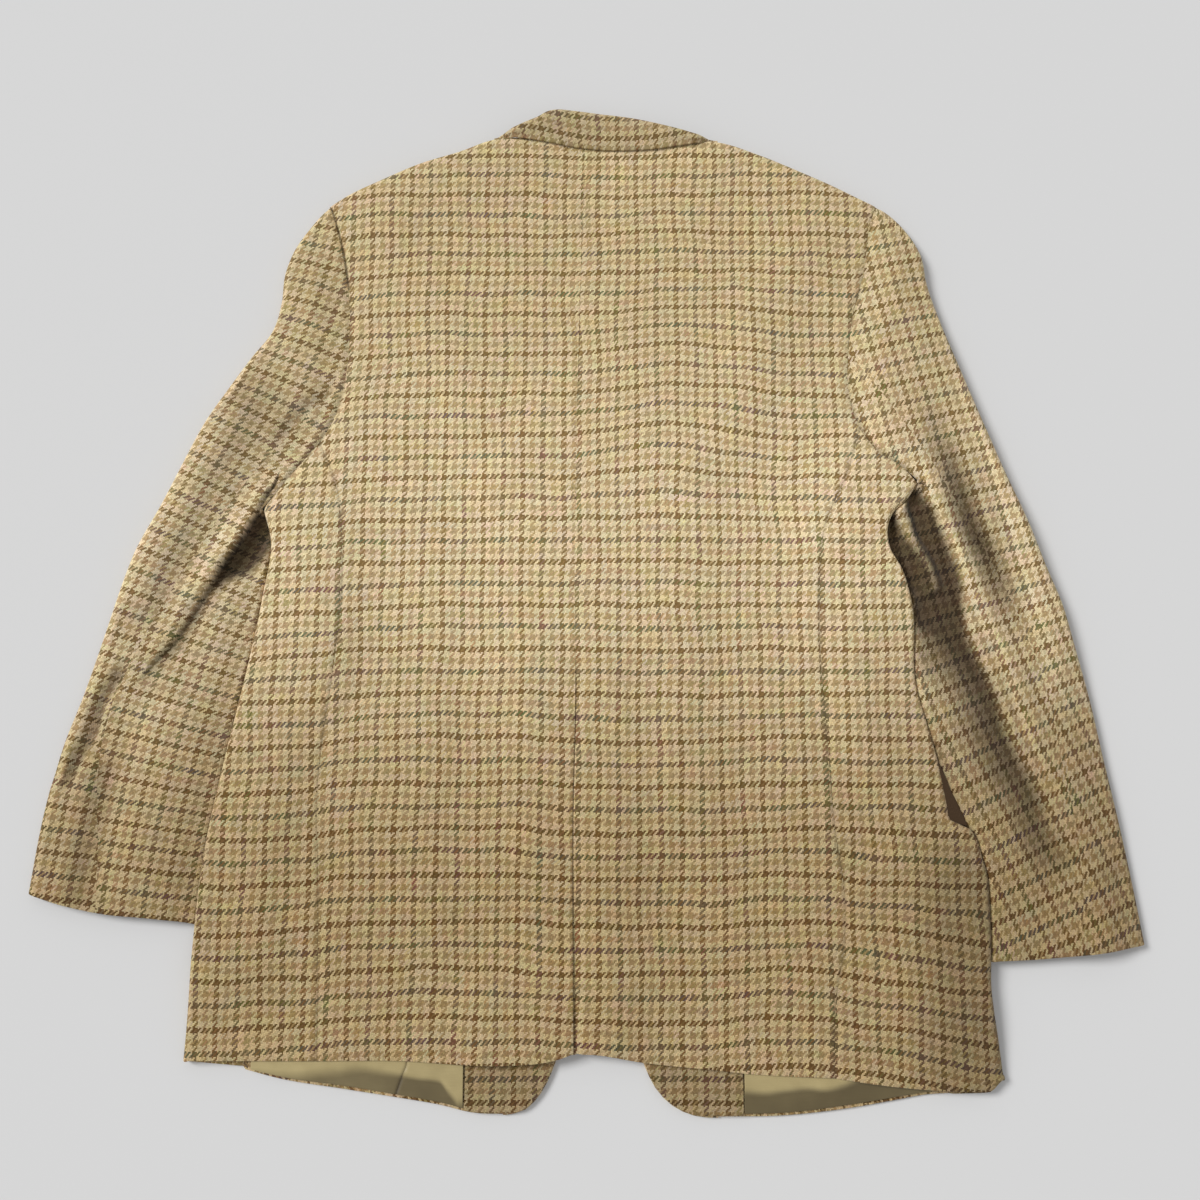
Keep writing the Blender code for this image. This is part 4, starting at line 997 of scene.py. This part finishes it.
SLEEVE_FOLDS = {
    # height, west and east widths, run
    "left": (
        ((0, 3.0, 3.2, 2.6, 1.5, 0), 24, 7, (
            (-270, 84), (-281, 62), (-290, 47), (-298, 34), (-308, 21), (-318, 3), (-326, -7),
            (-334, -18), (-341, -31), (-353, -48), (-365, -60), (-373, -74))),
        ((-10, -15, -17, -17, -15, -7, -4.2, -4, -4, -4, -3.5, -2, 0), 2.6,
         (20, 30, 35, 36, 33, 26, 16, 15, 16, 17, 18, 18, 18), (
            (-270, 78), (-279, 60), (-287, 43), (-296, 28), (-306, 14), (-314.5, -1), (-320.5, -13),
            (-327, -25), (-335, -38), (-345, -54), (-358, -68), (-367, -81), (-377, -92))),
        (-4.2, 12, 9, (
            (-379, -66), (-391, -84), (-403, -105), (-409, -130), (-422, -155), (-430, -180))),
        (-1.8, 12, 10, ((-212, 170), (-238, 156), (-255, 136), (-268, 116))),
        (2.5, 26, 26, ((-300, 170), (-340, 90), (-372, 20), (-392, -40))),
        (2.0, 30, 30, ((-340, -90), (-355, -140), (-366, -200), (-372, -280))),
        (-2.0, 18, 18, ((-390, -140), (-402, -200), (-410, -250), (-414, -280))),
    ),
    "right": (
        ((-12, -13, -13, -10, -4, 0), 16, (8, 16, 26, 30, 32, 32), (
            (259, 60), (261, 45), (263, 32), (268, 20), (275, 8), (281, -6), (284, -28), (288, -50))),
        ((-13, -14, -11, -7.2, -6.4, -6, -5.6, -4.5, 0),
         (10, 17, 18, 14, 16, 64, 66, 50, 46, 44, 42, 40, 36, 32, 31, 30, 30),
         (8, 16, 17, 14, 13, 12, 12, 11, 10.5, 11, 11, 12.5, 14, 17, 20, 20, 20), (
            (285, 82), (283, 68), (288, 56), (290, 46), (297, 31), (303, 17), (309, 2), (312, -20),
            (316, -50), (327, -75), (338, -101), (344, -126), (355, -155), (368, -183), (374, -212),
            (389, -236), (408, -256))),
        ((0.4, 1.4, 1.8, 2.0, 1.6, 0), 8, 16, (
            (294, 98), (300, 76), (307, 54), (317, 28), (326, 4), (332, -21), (346, -51), (354, -76),
            (361, -101), (368, -126), (380, -155), (392, -183), (400, -215))),
        ((0, -2.5, -5, -6, -3.5, 0), 23, 20, (
            (292, 178), (302, 142), (311, 111), (323, 71), (331, 44), (343, 18), (352, -8), (360, -33),
            (367, -59))),
        (3.0, 22, 22, ((330, 210), (355, 120), (378, 30), (394, -50), (404, -120))),
        (3.2, 34, 34, ((405, -230), (414, -272), (414, -320))),
        (-2.5, 14, 12, ((282, -130), (291, -150), (299, -178), (307, -203), (318, -230))),
    ),
}
SLEEVE_SHADE = {
    # depth, half width and run of the broad shade on the upper sleeve
    "left": (0.36, 70.0, ((-300, 150), (-350, 50), (-372, -10))),
    "right": (0.11, 50.0, ((322, 90), (345, 10))),
}
SLEEVE_AXIS = {
    "left": Curve((-232, 340), (-250, 255), (-280, 170), (-320, 85), (-355, 5), (-383, -80), (-403, -165),
                  (-420, -290)),
    "right": Curve((262, 340), (280, 240), (300, 150), (321, 60), (343, -30), (372, -110), (411, -195),
                   (458, -298)),
}


def sleeve_height(x, y, side, share):
    """Height of a sleeve's upper face, level with the back at the armhole and low at the body.

    The second result is its painted shade: a little away from the armhole, more in the broad
    shade and at the armhole's seam, and about an eighth for each millimetre that a fold sinks it.
    """
    crown = np.interp(share, *zip(*SLEEVE_CROWN)) + drift(x, y, 1.4, 11)
    crown = crown - 3.0 * (1 - smooth(distance(x, y, OUTER_FOLD[side].line[::4]) / 34.0))
    from_hole = distance(x, y, ARMHOLE[side].line[::4])
    start = smooth(from_hole / 34.0)
    full = back_height(x, y) * (1 - start) + crown * start
    folded = 0.0 * x
    for height, west, east, run in SLEEVE_FOLDS[side]:
        run = Curve(*run).at(shares(40))
        folded = folded + fold(x, y, height, west, east, run) * smooth(from_hole / 12.0)
    body = SIDE_FOLD[side].line
    edge = np.interp(y, np.maximum.accumulate(body[:, 1]), body[:, 0])
    under = (y < body[-1, 1]) & (np.abs(x) < np.abs(edge))
    away = distance(x, y, body[::3]) * np.where(under, -1.0, 1.0)
    # An even painted shade away from the armhole, which on the right fades out towards the cuff.
    even = 0.13 * start
    if side == "left":
        full = full - 4.0 * climb(share, 0.42, 0.54) * (1 - smooth(away / 30.0))
    else:
        even = even * climb(y, -230.0, -130.0)
    full = full + folded
    low = climb(away, -3.0, 3.0)
    z = np.maximum(TUCKED + (full - TUCKED) * low, TUCKED)
    # Painted shade: the even share, the broad shade on the upper sleeve, the folds' depth, and a line
    # along the armhole's seam.
    depth, half, run = SLEEVE_SHADE[side]
    shade = even + depth * smooth(1 - distance(x, y, run) / half) - folded / 7.8
    hole = ARMHOLE[side].line[::3]
    shade = shade + groove(x, y, hole, 0.20 + 0.36 * climb(y, 190.0, 130.0), 3.2)
    return z - groove(x, y, hole, 1.3, 3.0), np.clip(shade, 0.0, 1.0)


def along_axis(plan, side):
    """A plan point's place on the sleeve's cut: how far beside the axis, and how far up it."""
    count = 160
    line = SLEEVE_AXIS[side].at(shares(count))
    away = np.hypot(plan[..., None, 0] - line[:, 0], plan[..., None, 1] - line[:, 1])
    near = np.clip(away.argmin(axis=-1), 1, count - 2)
    down = unit(line[near + 1] - line[near - 1])
    off = plan - line[near]
    run = near / (count - 1) * SLEEVE_AXIS[side].length + (off * down).sum(axis=-1)
    return np.stack([off[..., 1] * down[..., 0] - off[..., 0] * down[..., 1], -run], axis=-1)


def make_sleeve(side):
    """A sleeve: rows cross it from the armhole to the cuff, and columns run down it.

    Down to the pit row the rows end on the armhole, and below it on the inner edge, under the body.
    """
    hole = ARMHOLE[side]
    under_hole = ARMHOLE_UNDER[side]
    index = np.concatenate([np.linspace(0.0, PIT_ROW, 96), np.linspace(PIT_ROW, CUFF_ROW, 186)[1:]])
    along, hind_share, inner_share = (
        np.interp(index, np.arange(CUFF_ROW + 1), column) for column in zip(*SLEEVE_ROWS))
    arm = np.minimum(HIND_SHARE + (1 - HIND_SHARE) * (index + 1) / (PIT_ROW + 1), 1.0)
    arm_under = np.minimum((index + 1) / (PIT_ROW + 1), 1.0)
    outer = OUTER_FOLD[side].at(along)
    hind = Curve(hole.at(HIND_SHARE), *HIND_SEAM[side], CUFF[side].at(HIND_CUFF)).at(hind_share)
    roll = np.interp(along, (0.0, 1.0), SLEEVE_ROLL)
    leaving = np.clip(index - PIT_ROW + 1.0, 0.0, 1.0)[:, None]
    inner_edge = SLEEVE_INNER[side].at(inner_share)
    inner = hole.at(arm) * (1 - leaving) + inner_edge * leaving
    inner_under = under_hole.at(arm_under) * (1 - leaving) + inner_edge * leaving

    run = np.gradient(outer, axis=0)
    inward = unit(np.stack([-run[:, 1], run[:, 0]], axis=1))
    inward = inward * np.sign(((inner - outer) * inward).sum(axis=1, keepdims=True))
    inset = outer + inward * roll[:, None]
    inset_under = inset.copy()
    columns = 52
    across = spread(columns, 0.3)
    first = hole.at(HIND_SHARE + (SHOULDER_ROLL / hole.length - HIND_SHARE) * across)
    inset[0] = first[-1]
    hind[0] = first[0]
    turn_share = SLEEVE_ROLL[1] / CUFF[side].length
    last = CUFF[side].at(HIND_CUFF + (turn_share - HIND_CUFF) * across)
    inset[-1] = last[-1]
    strip = coons(hind, inset, first, last, across, along)
    strip[0] = toward(strip[0], strip[1], GAP)
    strip[:, 0] = toward(strip[:, 0], strip[:, 1], GAP)

    short = index < PIT_ROW
    inner_under[short] = toward(inner_under[short], outer[short], GAP)
    start = under_hole.at(SHOULDER_ROLL / under_hole.length)
    inset_under += (start - inset_under[0]) * (1 - smooth(index / 2.0))[:, None]
    across = shares(26)
    first = inset_under[0] + (inner_under[0] - inset_under[0]) * across[:, None]
    last = CUFF[side].at(turn_share + (1 - turn_share) * across)
    inset_under[-1] = last[0]
    below = coons(inset_under, inner_under, first, last, across, along)
    below[0] = toward(below[0], below[1], GAP)
    rim = outer.copy()
    rim[0] = toward(outer[0], outer[1], GAP)
    high, painted_shade = sleeve_height(strip[..., 0], strip[..., 1], side, along[:, None])
    turned = turn_edge(rim, strip[:, -1], below[:, 0], high[:, -1], 0.0, 17)[:, 1:-1]
    grid = np.concatenate([raised(strip, high), turned, raised(below, 0 * below[..., 0])], axis=1)
    painted_shade = np.pad(painted_shade, ((0, 0), (0, grid.shape[1] - columns)))
    cut = along_axis(grid[..., :2], side)
    wrapped = run_lengths(grid[:, columns - 1:], 1)
    wrapped = np.stack([OUTWARDS[side] * wrapped, 0 * wrapped], axis=-1)
    cut[:, columns - 1:] = cut[:, columns - 1:columns] + wrapped
    edges = (SEWN, SEWN, FREE, SEWN)
    cloth("sleeve_top", side, grid, SLEEVE_WALL, cut, ["table"], edges=edges, painted_shade=painted_shade)

    inner[short] = toward(inner[short], hind[short], GAP)
    width = np.linalg.norm(inner - hind, axis=1)
    tucked = np.where(short, 0.0, distance(inner[:, 0], inner[:, 1], SIDE_FOLD[side].line[::3]))
    tucked = tucked * smooth((index - PIT_ROW) / 0.6)
    at_body = (1 - (tucked + 5.0) / width)[:, None]
    share = np.concatenate([at_body * shares(84), at_body + (1 - at_body) * shares(15)[1:]], axis=1)
    straight = hind[-1] + (inner[-1] - hind[-1]) * share[..., None]
    bow = CUFF[side].at(HIND_CUFF + (1 - HIND_CUFF) * share) - straight
    shown = hind[:, None] + (inner - hind)[:, None] * share[..., None] + along[:, None, None] * bow
    shown[0] = toward(shown[0], shown[1], GAP)
    shown[:, 0] = toward(shown[:, 0], shown[:, 1], GAP)
    high, painted_shade = sleeve_height(shown[..., 0], shown[..., 1], side, along[:, None])
    cloth("sleeve_under", side, raised(shown, high), SLEEVE_WALL, along_axis(shown, side) + (6.0, 5.0),
          ["sleeve_top_cloth_" + side], edges=edges, painted_shade=painted_shade)


for hand in SIDES:
    make_sleeve(hand)

# --- Collar, lapels and flaps ------------------------------------------------------------------
# The collar is one folded strip round the back neck: the fall outside, the crest, and the stand
# inside. Its leaves and the lapels lie flat under the shoulders, and the flaps under the fronts.

COLLAR_WALL = 2.2
NECK = Curve(SHOULDER_POINTS["left"][-1], *NECK_POINTS["left"], *NECK_POINTS["right"][-2::-1],
             SHOULDER_POINTS["right"][-1])
COLLAR_FALL = Curve((-82, 402.4), (-73, 403.6), (-50, 402.5), (-31, 400), (-15, 397.5), (12, 395),
                    (39, 394), (58, 394), (81, 396), (98, 398), (112, 399.4), (118, 399.4))
COLLAR_CREST = Curve((-83, 404.4), (-75, 407.6), (-55, 418), (-43, 424), (-35, 429.5), (-25, 432),
                     (-14, 431.6), (12, 429), (42, 424), (68, 416.5), (85, 411), (102, 405),
                     (112, 402.3), (118.5, 401.2))


def make_collar():
    """The strip's columns run from the fall's edge over the crest to the neck seam."""
    along = shares(150)
    crest = COLLAR_CREST.at(along)
    fall = COLLAR_FALL.at(along)
    neck = toward(NECK.at(along), crest, 0.2)
    over, beneath = (
        toward(crest, edge, np.minimum(4.0, 0.45 * np.linalg.norm(crest - edge, axis=1, keepdims=True)))
        for edge in (fall, neck))
    fall_z = back_height(fall[:, 0], fall[:, 1]) + REST + COLLAR_WALL
    seam_z = back_height(neck[:, 0], neck[:, 1]) - BACK_WALL + 0.2
    high = fall_z + 2.6
    low = seam_z - 0.4
    middle = (back_height(neck[:, 0], neck[:, 1]) + front_height(neck[:, 0], neck[:, 1], "left")) / 2
    ends = 0.2 + 0.8 * smooth(np.minimum(along, 1 - along) / 0.10)[:, None]
    outside = [raised(fall + (over - fall) * t, fall_z + (high - fall_z) * smooth(t * 1.2))
               for t in shares(18)[:-1]]
    inside = [raised(beneath + (neck - beneath) * t, low + 0.4 * t) for t in shares(9)[1:]]
    grid = np.concatenate([np.stack(outside, axis=1), turn_edge(crest, over, beneath, high, low, 15),
                           np.stack(inside, axis=1)], axis=1)
    grid[..., 2] = middle[:, None] + (grid[..., 2] - middle[:, None]) * ends
    long = run_lengths(grid[:, :1])
    cut = np.stack([long + 0 * grid[..., 0] + 4.0, run_lengths(grid, 1) + 6.0], axis=-1)
    # The whole collar gets a quarter of painted shade.
    cloth("collar", "", grid, COLLAR_WALL, cut, ["back_cloth_left", "back_cloth_right"],
          edges=(SEWN, SEWN, SEWN, FREE), painted_shade=np.full(grid.shape[:2], 0.25))


def make_flat(kind, side, side_a, side_b, wall, height, rests_on, finish=TWEED, slot="tweed", rows=40,
              columns=24, lean=0.0, sunk=None):
    """A flat piece between two edges, its lower face at the heights that a function gives.

    lean is the angle in radians from the plan's y axis to the piece's own length, and sunk gives
    its painted shade.
    """
    t = spread(columns, 0.3)[None, :, None]
    s = spread(rows, 0.3)
    plan = side_a.at(s)[:, None] * (1 - t) + side_b.at(s)[:, None] * t
    plan = toward(plan, plan.mean(axis=(0, 1)), 0.8)
    x, y = plan[..., 0], plan[..., 1]
    own_x = x * math.cos(lean) + y * math.sin(lean)
    own_y = y * math.cos(lean) - x * math.sin(lean)
    cloth(kind, side, raised(plan, height(x, y)), wall, np.stack([-own_x, own_y], axis=-1), rests_on,
          finish, slot, up=False, painted_shade=sunk(x, y) if sunk else None)


def on_table(x, y):
    """Height of what lies straight on the table."""
    return 0.0 * x


make_collar()
for hand in SIDES:
    lapel = Curve(*LAPEL_ROLL[hand]), Curve(*LAPEL_EDGE[hand])
    make_flat("lapel", hand, *lapel, LAPEL_WALL, on_table, ["table"])
    leaf = LEAF[hand]
    leaf = Curve(leaf[1], leaf[2]), Curve(leaf[0], leaf[3])
    make_flat("collar_leaf", hand, *leaf, LAPEL_WALL, on_table, ["table"])
    flap = FLAP[hand]
    flap = Curve(flap[0], flap[1]), Curve(flap[3], flap[2])
    make_flat("flap", hand, *flap, FLAP_WALL, on_table, ["table"])

# --- Facings and lining ------------------------------------------------------------------------
# Below the back's hem the fronts' inner faces show: the tweed facing at the rounded corner, and
# the khaki satin lining, felled a little above the hem.

LINING_WALL = 1.0
FELLED = 0.4  # between the fronts' inner face and what is sewn to it
HEM_PIECE_TOP = -366.0
LINING_EDGE = {"left": -95.0, "right": 126.0}  # where the facing starts
LINING_SPAN = {"left": (-266.0, -96.0), "right": (286.0, 127.0)}
LINING_LOFT = 2.2  # how far the puffs stand above the hollows between them
LINING_DEPTH = {"left": 0.74, "right": 0.85}  # how far the satin sinks into those hollows, which is also its painted shade there
PUFFS = {
    # x, how far down the plan a puff's top reaches, how far it then falls away into painted shade
    "left": ((-266, -392.0, 12), (-234, -395.0, 13), (-215, -393.5, 12), (-195, -391.4, 12),
             (-181, -389.7, 11), (-171, -391.0, 10), (-160, -393.5, 9), (-149, -396.0, 7),
             (-141, -398.5, 5), (-131, -400.5, 4.5), (-121, -401.2, 4.5), (-114, -402.5, 5),
             (-108, -408.0, 8), (-100, -416.0, 10)),
    "right": ((126, -408.0, 8), (145, -410.0, 7), (161, -408.5, 6), (177, -407.0, 6), (195, -408.0, 6),
              (206, -404.0, 8), (222, -397.0, 10), (290, -395.0, 10)),
}
# A thin crease in the left lining, which dips the satin and is painted dark as shade.
LINING_CREASE = ((-141, -380), (-142, -392), (-146, -401), (-151, -416))


def weave_satin():
    """Khaki satin: a fine diagonal float, a soft gloss, a slow drift of tone, and painted shade."""
    satin = Finish("lining_satin", Specular_IOR_Level=0.45, Sheen_Weight=0.1)
    cut, across, along = satin.cut()
    float_line = ((across * 0.8 + along) * 1400.0 % 1.0).half_wave()
    thread = satin.noise(satin.together(across * 60.0, along * 1800.0, 0.0), 1.0, 2.0)
    cloud = satin.noise(cut, 60.0, 2.0)
    colour = satin.mixed(cloud, (0.35, 0.275, 0.125, 1.0), (0.50, 0.405, 0.195, 1.0))
    # Painted shade between the satin's floats, with the threads' own uneven tone.
    colour = satin.scaled(colour, 0.80 + 0.12 * float_line + 0.16 * thread)
    # Painted shade that the mesh holds, where the satin falls away from its puffs and in its crease.
    colour = satin.mixed(satin.painted_shade(), colour, (0.16, 0.14, 0.11, 1.0), "MULTIPLY")
    bump = satin.bump(float_line * 0.5 + thread, 0.00012)
    satin.feed(Base_Color=colour, Normal=bump, Roughness=0.34 + 0.12 * thread)
    return satin.material


SATIN = weave_satin()


def on_front(x, y, side="left"):
    """Just above a front's inner face."""
    return front_height(x, y, side) + FRONT_WALL + FELLED


def hem_at(side, x, count):
    """The height on the plan of a front's hem at x, read from a number of its points."""
    hem = FRONT_HEM[side].at(shares(count))
    return np.interp(x, *hem[np.argsort(hem[:, 0])].T)


def make_lining(side):
    """A strip of lining from near the front's hem to under the back's hem, softly rippled, with painted
    shade where it falls away.
    """
    x = np.linspace(*LINING_SPAN[side], 12)
    low = Curve(*zip(x, hem_at(side, x, 200) + 2.6))
    high = Curve(*zip(x, 0 * x + HEM_PIECE_TOP))
    puffs = np.array(PUFFS[side])
    edge = Curve(*puffs[:, :2]).line

    def sunk(px, py):
        """How far the satin falls away below the top of its puffs and into its crease, from 0 to 1; the
        same share is painted on it as shade.
        """
        fall = np.interp(px, puffs[:, 0], puffs[:, 2])
        fallen = smooth((np.interp(px, edge[:, 0], edge[:, 1]) - py + 1.0) / fall)
        crease = fold(px, py, (0.4, 0.4), 1.3, 2.5, LINING_CREASE)
        return np.clip(fallen * LINING_DEPTH[side] + crease + drift(px, py, 0.1, 21), 0.0, 1.0)

    make_flat("lining", side, low, high, LINING_WALL,
              lambda px, py: on_front(px, py) + LINING_LOFT * (1 - sunk(px, py)),
              ["front_cloth_" + side], SATIN, "satin_lining", rows=240, columns=34, sunk=sunk)


def make_facing(side):
    """The facing's foot, with the rounded front corner inside the front's own edge."""
    boundary = LINING_EDGE[side]
    low = hem_at(side, boundary, 300) + 1.5
    share = shares(50)
    outer = FRONT_EDGE[side].at(share * FRONT_EDGE[side].share_at(HEM_PIECE_TOP))
    straight = 0 * share + boundary
    inside = np.stack([straight, low + (HEM_PIECE_TOP - low) * share], axis=1)
    outer = toward(outer, np.stack([straight, outer[:, 1] + 6.0], axis=1), 1.4)
    t = shares(30)[None, :, None]
    plan = outer[:, None] * (1 - t) + inside[:, None] * t
    plan[..., 1] += (1 - share[:, None]) ** 4 * (hem_at(side, plan[0, :, 0], 300) + 1.6 - plan[0, :, 1])
    z = on_front(plan[..., 0], plan[..., 1], side)
    # The whole facing, under the back's hem, gets painted shade.
    cloth("facing", side, raised(plan, z), FACING_WALL, plan + (3.0, 2.0), ["front_cloth_" + side],
          up=False, painted_shade=np.full(plan.shape[:2], 0.34))


for hand in SIDES:
    make_lining(hand)
for hand in SIDES:
    make_facing(hand)

# --- Pocket mouth ------------------------------------------------------------------------------
# The right hip pocket gapes at the side fold, and its brown cotton bag shows in the mouth, painted nearly
# black with the shade of that deep mouth.


def weave_pocketing():
    """Brown twilled cotton, painted nearly black with shade: fine diagonal ribs and a little lint."""
    cotton = Finish("pocket_cotton_painted_shade", Roughness=0.95, Specular_IOR_Level=0.1)
    cut, across, along = cotton.cut()
    rib = ((across + along) * 1500.0 % 1.0).half_wave()
    lint = cotton.noise(cut, 900.0, 2.0)
    colour = cotton.mixed(0.35 * rib + 0.5 * lint, (0.030, 0.018, 0.010, 1.0), (0.095, 0.058, 0.032, 1.0))
    cotton.feed(Base_Color=colour, Normal=cotton.bump(rib, 0.0001, 0.5))
    return cotton.material


POCKET_HEIGHT = 11.4
POCKET_LEAN = 0.2  # radians
POCKET_EDGES = (Curve((289.0, -152.0), (297.0, -200.5)), Curve((292.5, -155.0), (313.0, -204.5)))
make_flat("pocket_bag", "", *POCKET_EDGES, LINING_WALL, lambda x, y: 0.0 * x + POCKET_HEIGHT,
          ["side_cloth_right"], weave_pocketing(), "pocketing", rows=20, columns=10, lean=POCKET_LEAN)

# --- Buttons -----------------------------------------------------------------------------------
# Three turned horn buttons, sewn through four holes. They lie face down under the fronts.

CENTRE_FRONT = 10.0
BUTTONS = {"button_top": 30.0, "button_middle": -75.0, "button_bottom": -180.0}
BUTTON_PROFILE = (
    # radius, height
    (0, 0.55), (3.2, 0.55), (5.6, 0.60), (6.8, 0.45), (7.8, 0.10), (8.8, 0.0), (9.8, 0.15),
    (10.35, 0.7), (10.5, 1.4), (10.3, 2.2), (9.4, 2.7), (7.0, BUTTON_HEIGHT), (0, BUTTON_HEIGHT),
)
THREAD_HOLES = ((1.6, 1.6), (-1.6, 1.6), (1.6, -1.6), (-1.6, -1.6))
HOLE_DEPTH = 0.8


def turn_horn():
    """Dark horn with paler streaks and a low polish."""
    horn = Finish("button_horn", Specular_IOR_Level=0.5, Coat_Weight=0.25)
    x, y, z = horn.apart(horn.node("ShaderNodeTexCoord", {}, 3))
    streak = horn.noise(horn.together(x * 90.0, y * 420.0, z * 300.0), 1.0, 3.0)
    colour = horn.mixed(streak, (0.030, 0.016, 0.009, 1.0), (0.20, 0.11, 0.055, 1.0))
    horn.feed(Base_Color=colour, Roughness=0.26 + 0.18 * streak)
    return horn.material


HORN = turn_horn()


def make_button(name, y):
    """A turned disc: a profile of radius and height carried round, with four sunk holes."""
    rings, spokes = 70, 64
    t = shares(rings)[:, None]
    place = shares(len(BUTTON_PROFILE))
    r, z = (np.interp(t, place, column) for column in zip(*BUTTON_PROFILE))
    turn = np.linspace(0, 2 * math.pi, spokes, endpoint=False)[None]
    px = r * np.cos(turn)
    py = r * np.sin(turn)
    pz = z + 0 * turn
    for hx, hy in THREAD_HOLES:
        sunk = np.exp(-(((px - hx) ** 2 + (py - hy) ** 2) / 0.6) ** 2)
        pz = pz + sunk * np.where(t < 0.5, HOLE_DEPTH, -HOLE_DEPTH)
    points = np.stack([px + CENTRE_FRONT, py + y, pz], axis=-1).reshape(-1, 3) * MM
    first = spokes * np.arange(rings - 1)[:, None]
    i = (first + np.arange(spokes)).ravel()
    j = (first + (np.arange(spokes) + 1) % spokes).ravel()
    faces = np.stack([i, i + spokes, j + spokes, j], axis=1)
    mesh = bpy.data.meshes.new(name + "_horn")
    mesh.from_pydata(points.tolist(), [], faces.tolist())
    mesh.validate()
    mesh.shade_smooth()
    mesh.materials.append(HORN)
    piece = add_object(name + "_horn", mesh)
    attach(piece, "root")
    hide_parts(name)


for button_name, button_y in BUTTONS.items():
    make_button(button_name, button_y)

# --- Table, light and camera -------------------------------------------------------------------
# A plain pale table top, a broad soft lamp from the upper left and an even room light.

TABLE_REACH = 4.0
LAMP_ANGLE = math.radians(22.0)
LAMP_ENERGY = 2.415
LAMP_PLACE = (-0.691, 0.331, 0.643)
ROOM_LIGHT = 0.494
CAMERA_LENS = 34.65
CAMERA_AIM = Vector((0.0125, -0.015, 0.0))
CAMERA_RISE = math.radians(80.8)
CAMERA_DISTANCE = 0.986

reach = TABLE_REACH
table_mesh = bpy.data.meshes.new("table")
table_mesh.from_pydata([(-reach, -reach, 0), (reach, -reach, 0), (reach, reach, 0), (-reach, reach, 0)],
                       [], [(0, 1, 2, 3)])
paint = Finish("table_paint", Roughness=0.85, Specular_IOR_Level=0.2, Base_Color=(0.68, 0.68, 0.68, 1.0))
table_mesh.materials.append(paint.material)
add_object("table", table_mesh)

lamp = bpy.data.lights.new("soft_lamp", "SUN")
lamp.angle = LAMP_ANGLE
lamp.energy = LAMP_ENERGY
lamp_object = add_object("soft_lamp", lamp)
lamp_object.location = LAMP_PLACE
lamp_object.rotation_euler = (-lamp_object.location).to_track_quat("-Z", "Y").to_euler()

room = bpy.data.worlds.new("room")
room.use_nodes = True
room_light = room.node_tree.nodes["Background"]
room_light.inputs["Color"].default_value = (1.0, 1.0, 1.0, 1.0)
room_light.inputs["Strength"].default_value = ROOM_LIGHT
bpy.context.scene.world = room
bpy.context.scene.view_settings.view_transform = "Standard"

lens = bpy.data.cameras.new("camera")
lens.lens = CAMERA_LENS
lens.sensor_width = 36.0
camera = add_object("camera", lens)
away = Vector((0.0, -math.cos(CAMERA_RISE), math.sin(CAMERA_RISE)))
camera.location = CAMERA_AIM + CAMERA_DISTANCE * away
camera.rotation_euler = (CAMERA_AIM - camera.location).to_track_quat("-Z", "Y").to_euler()
bpy.context.scene.camera = camera
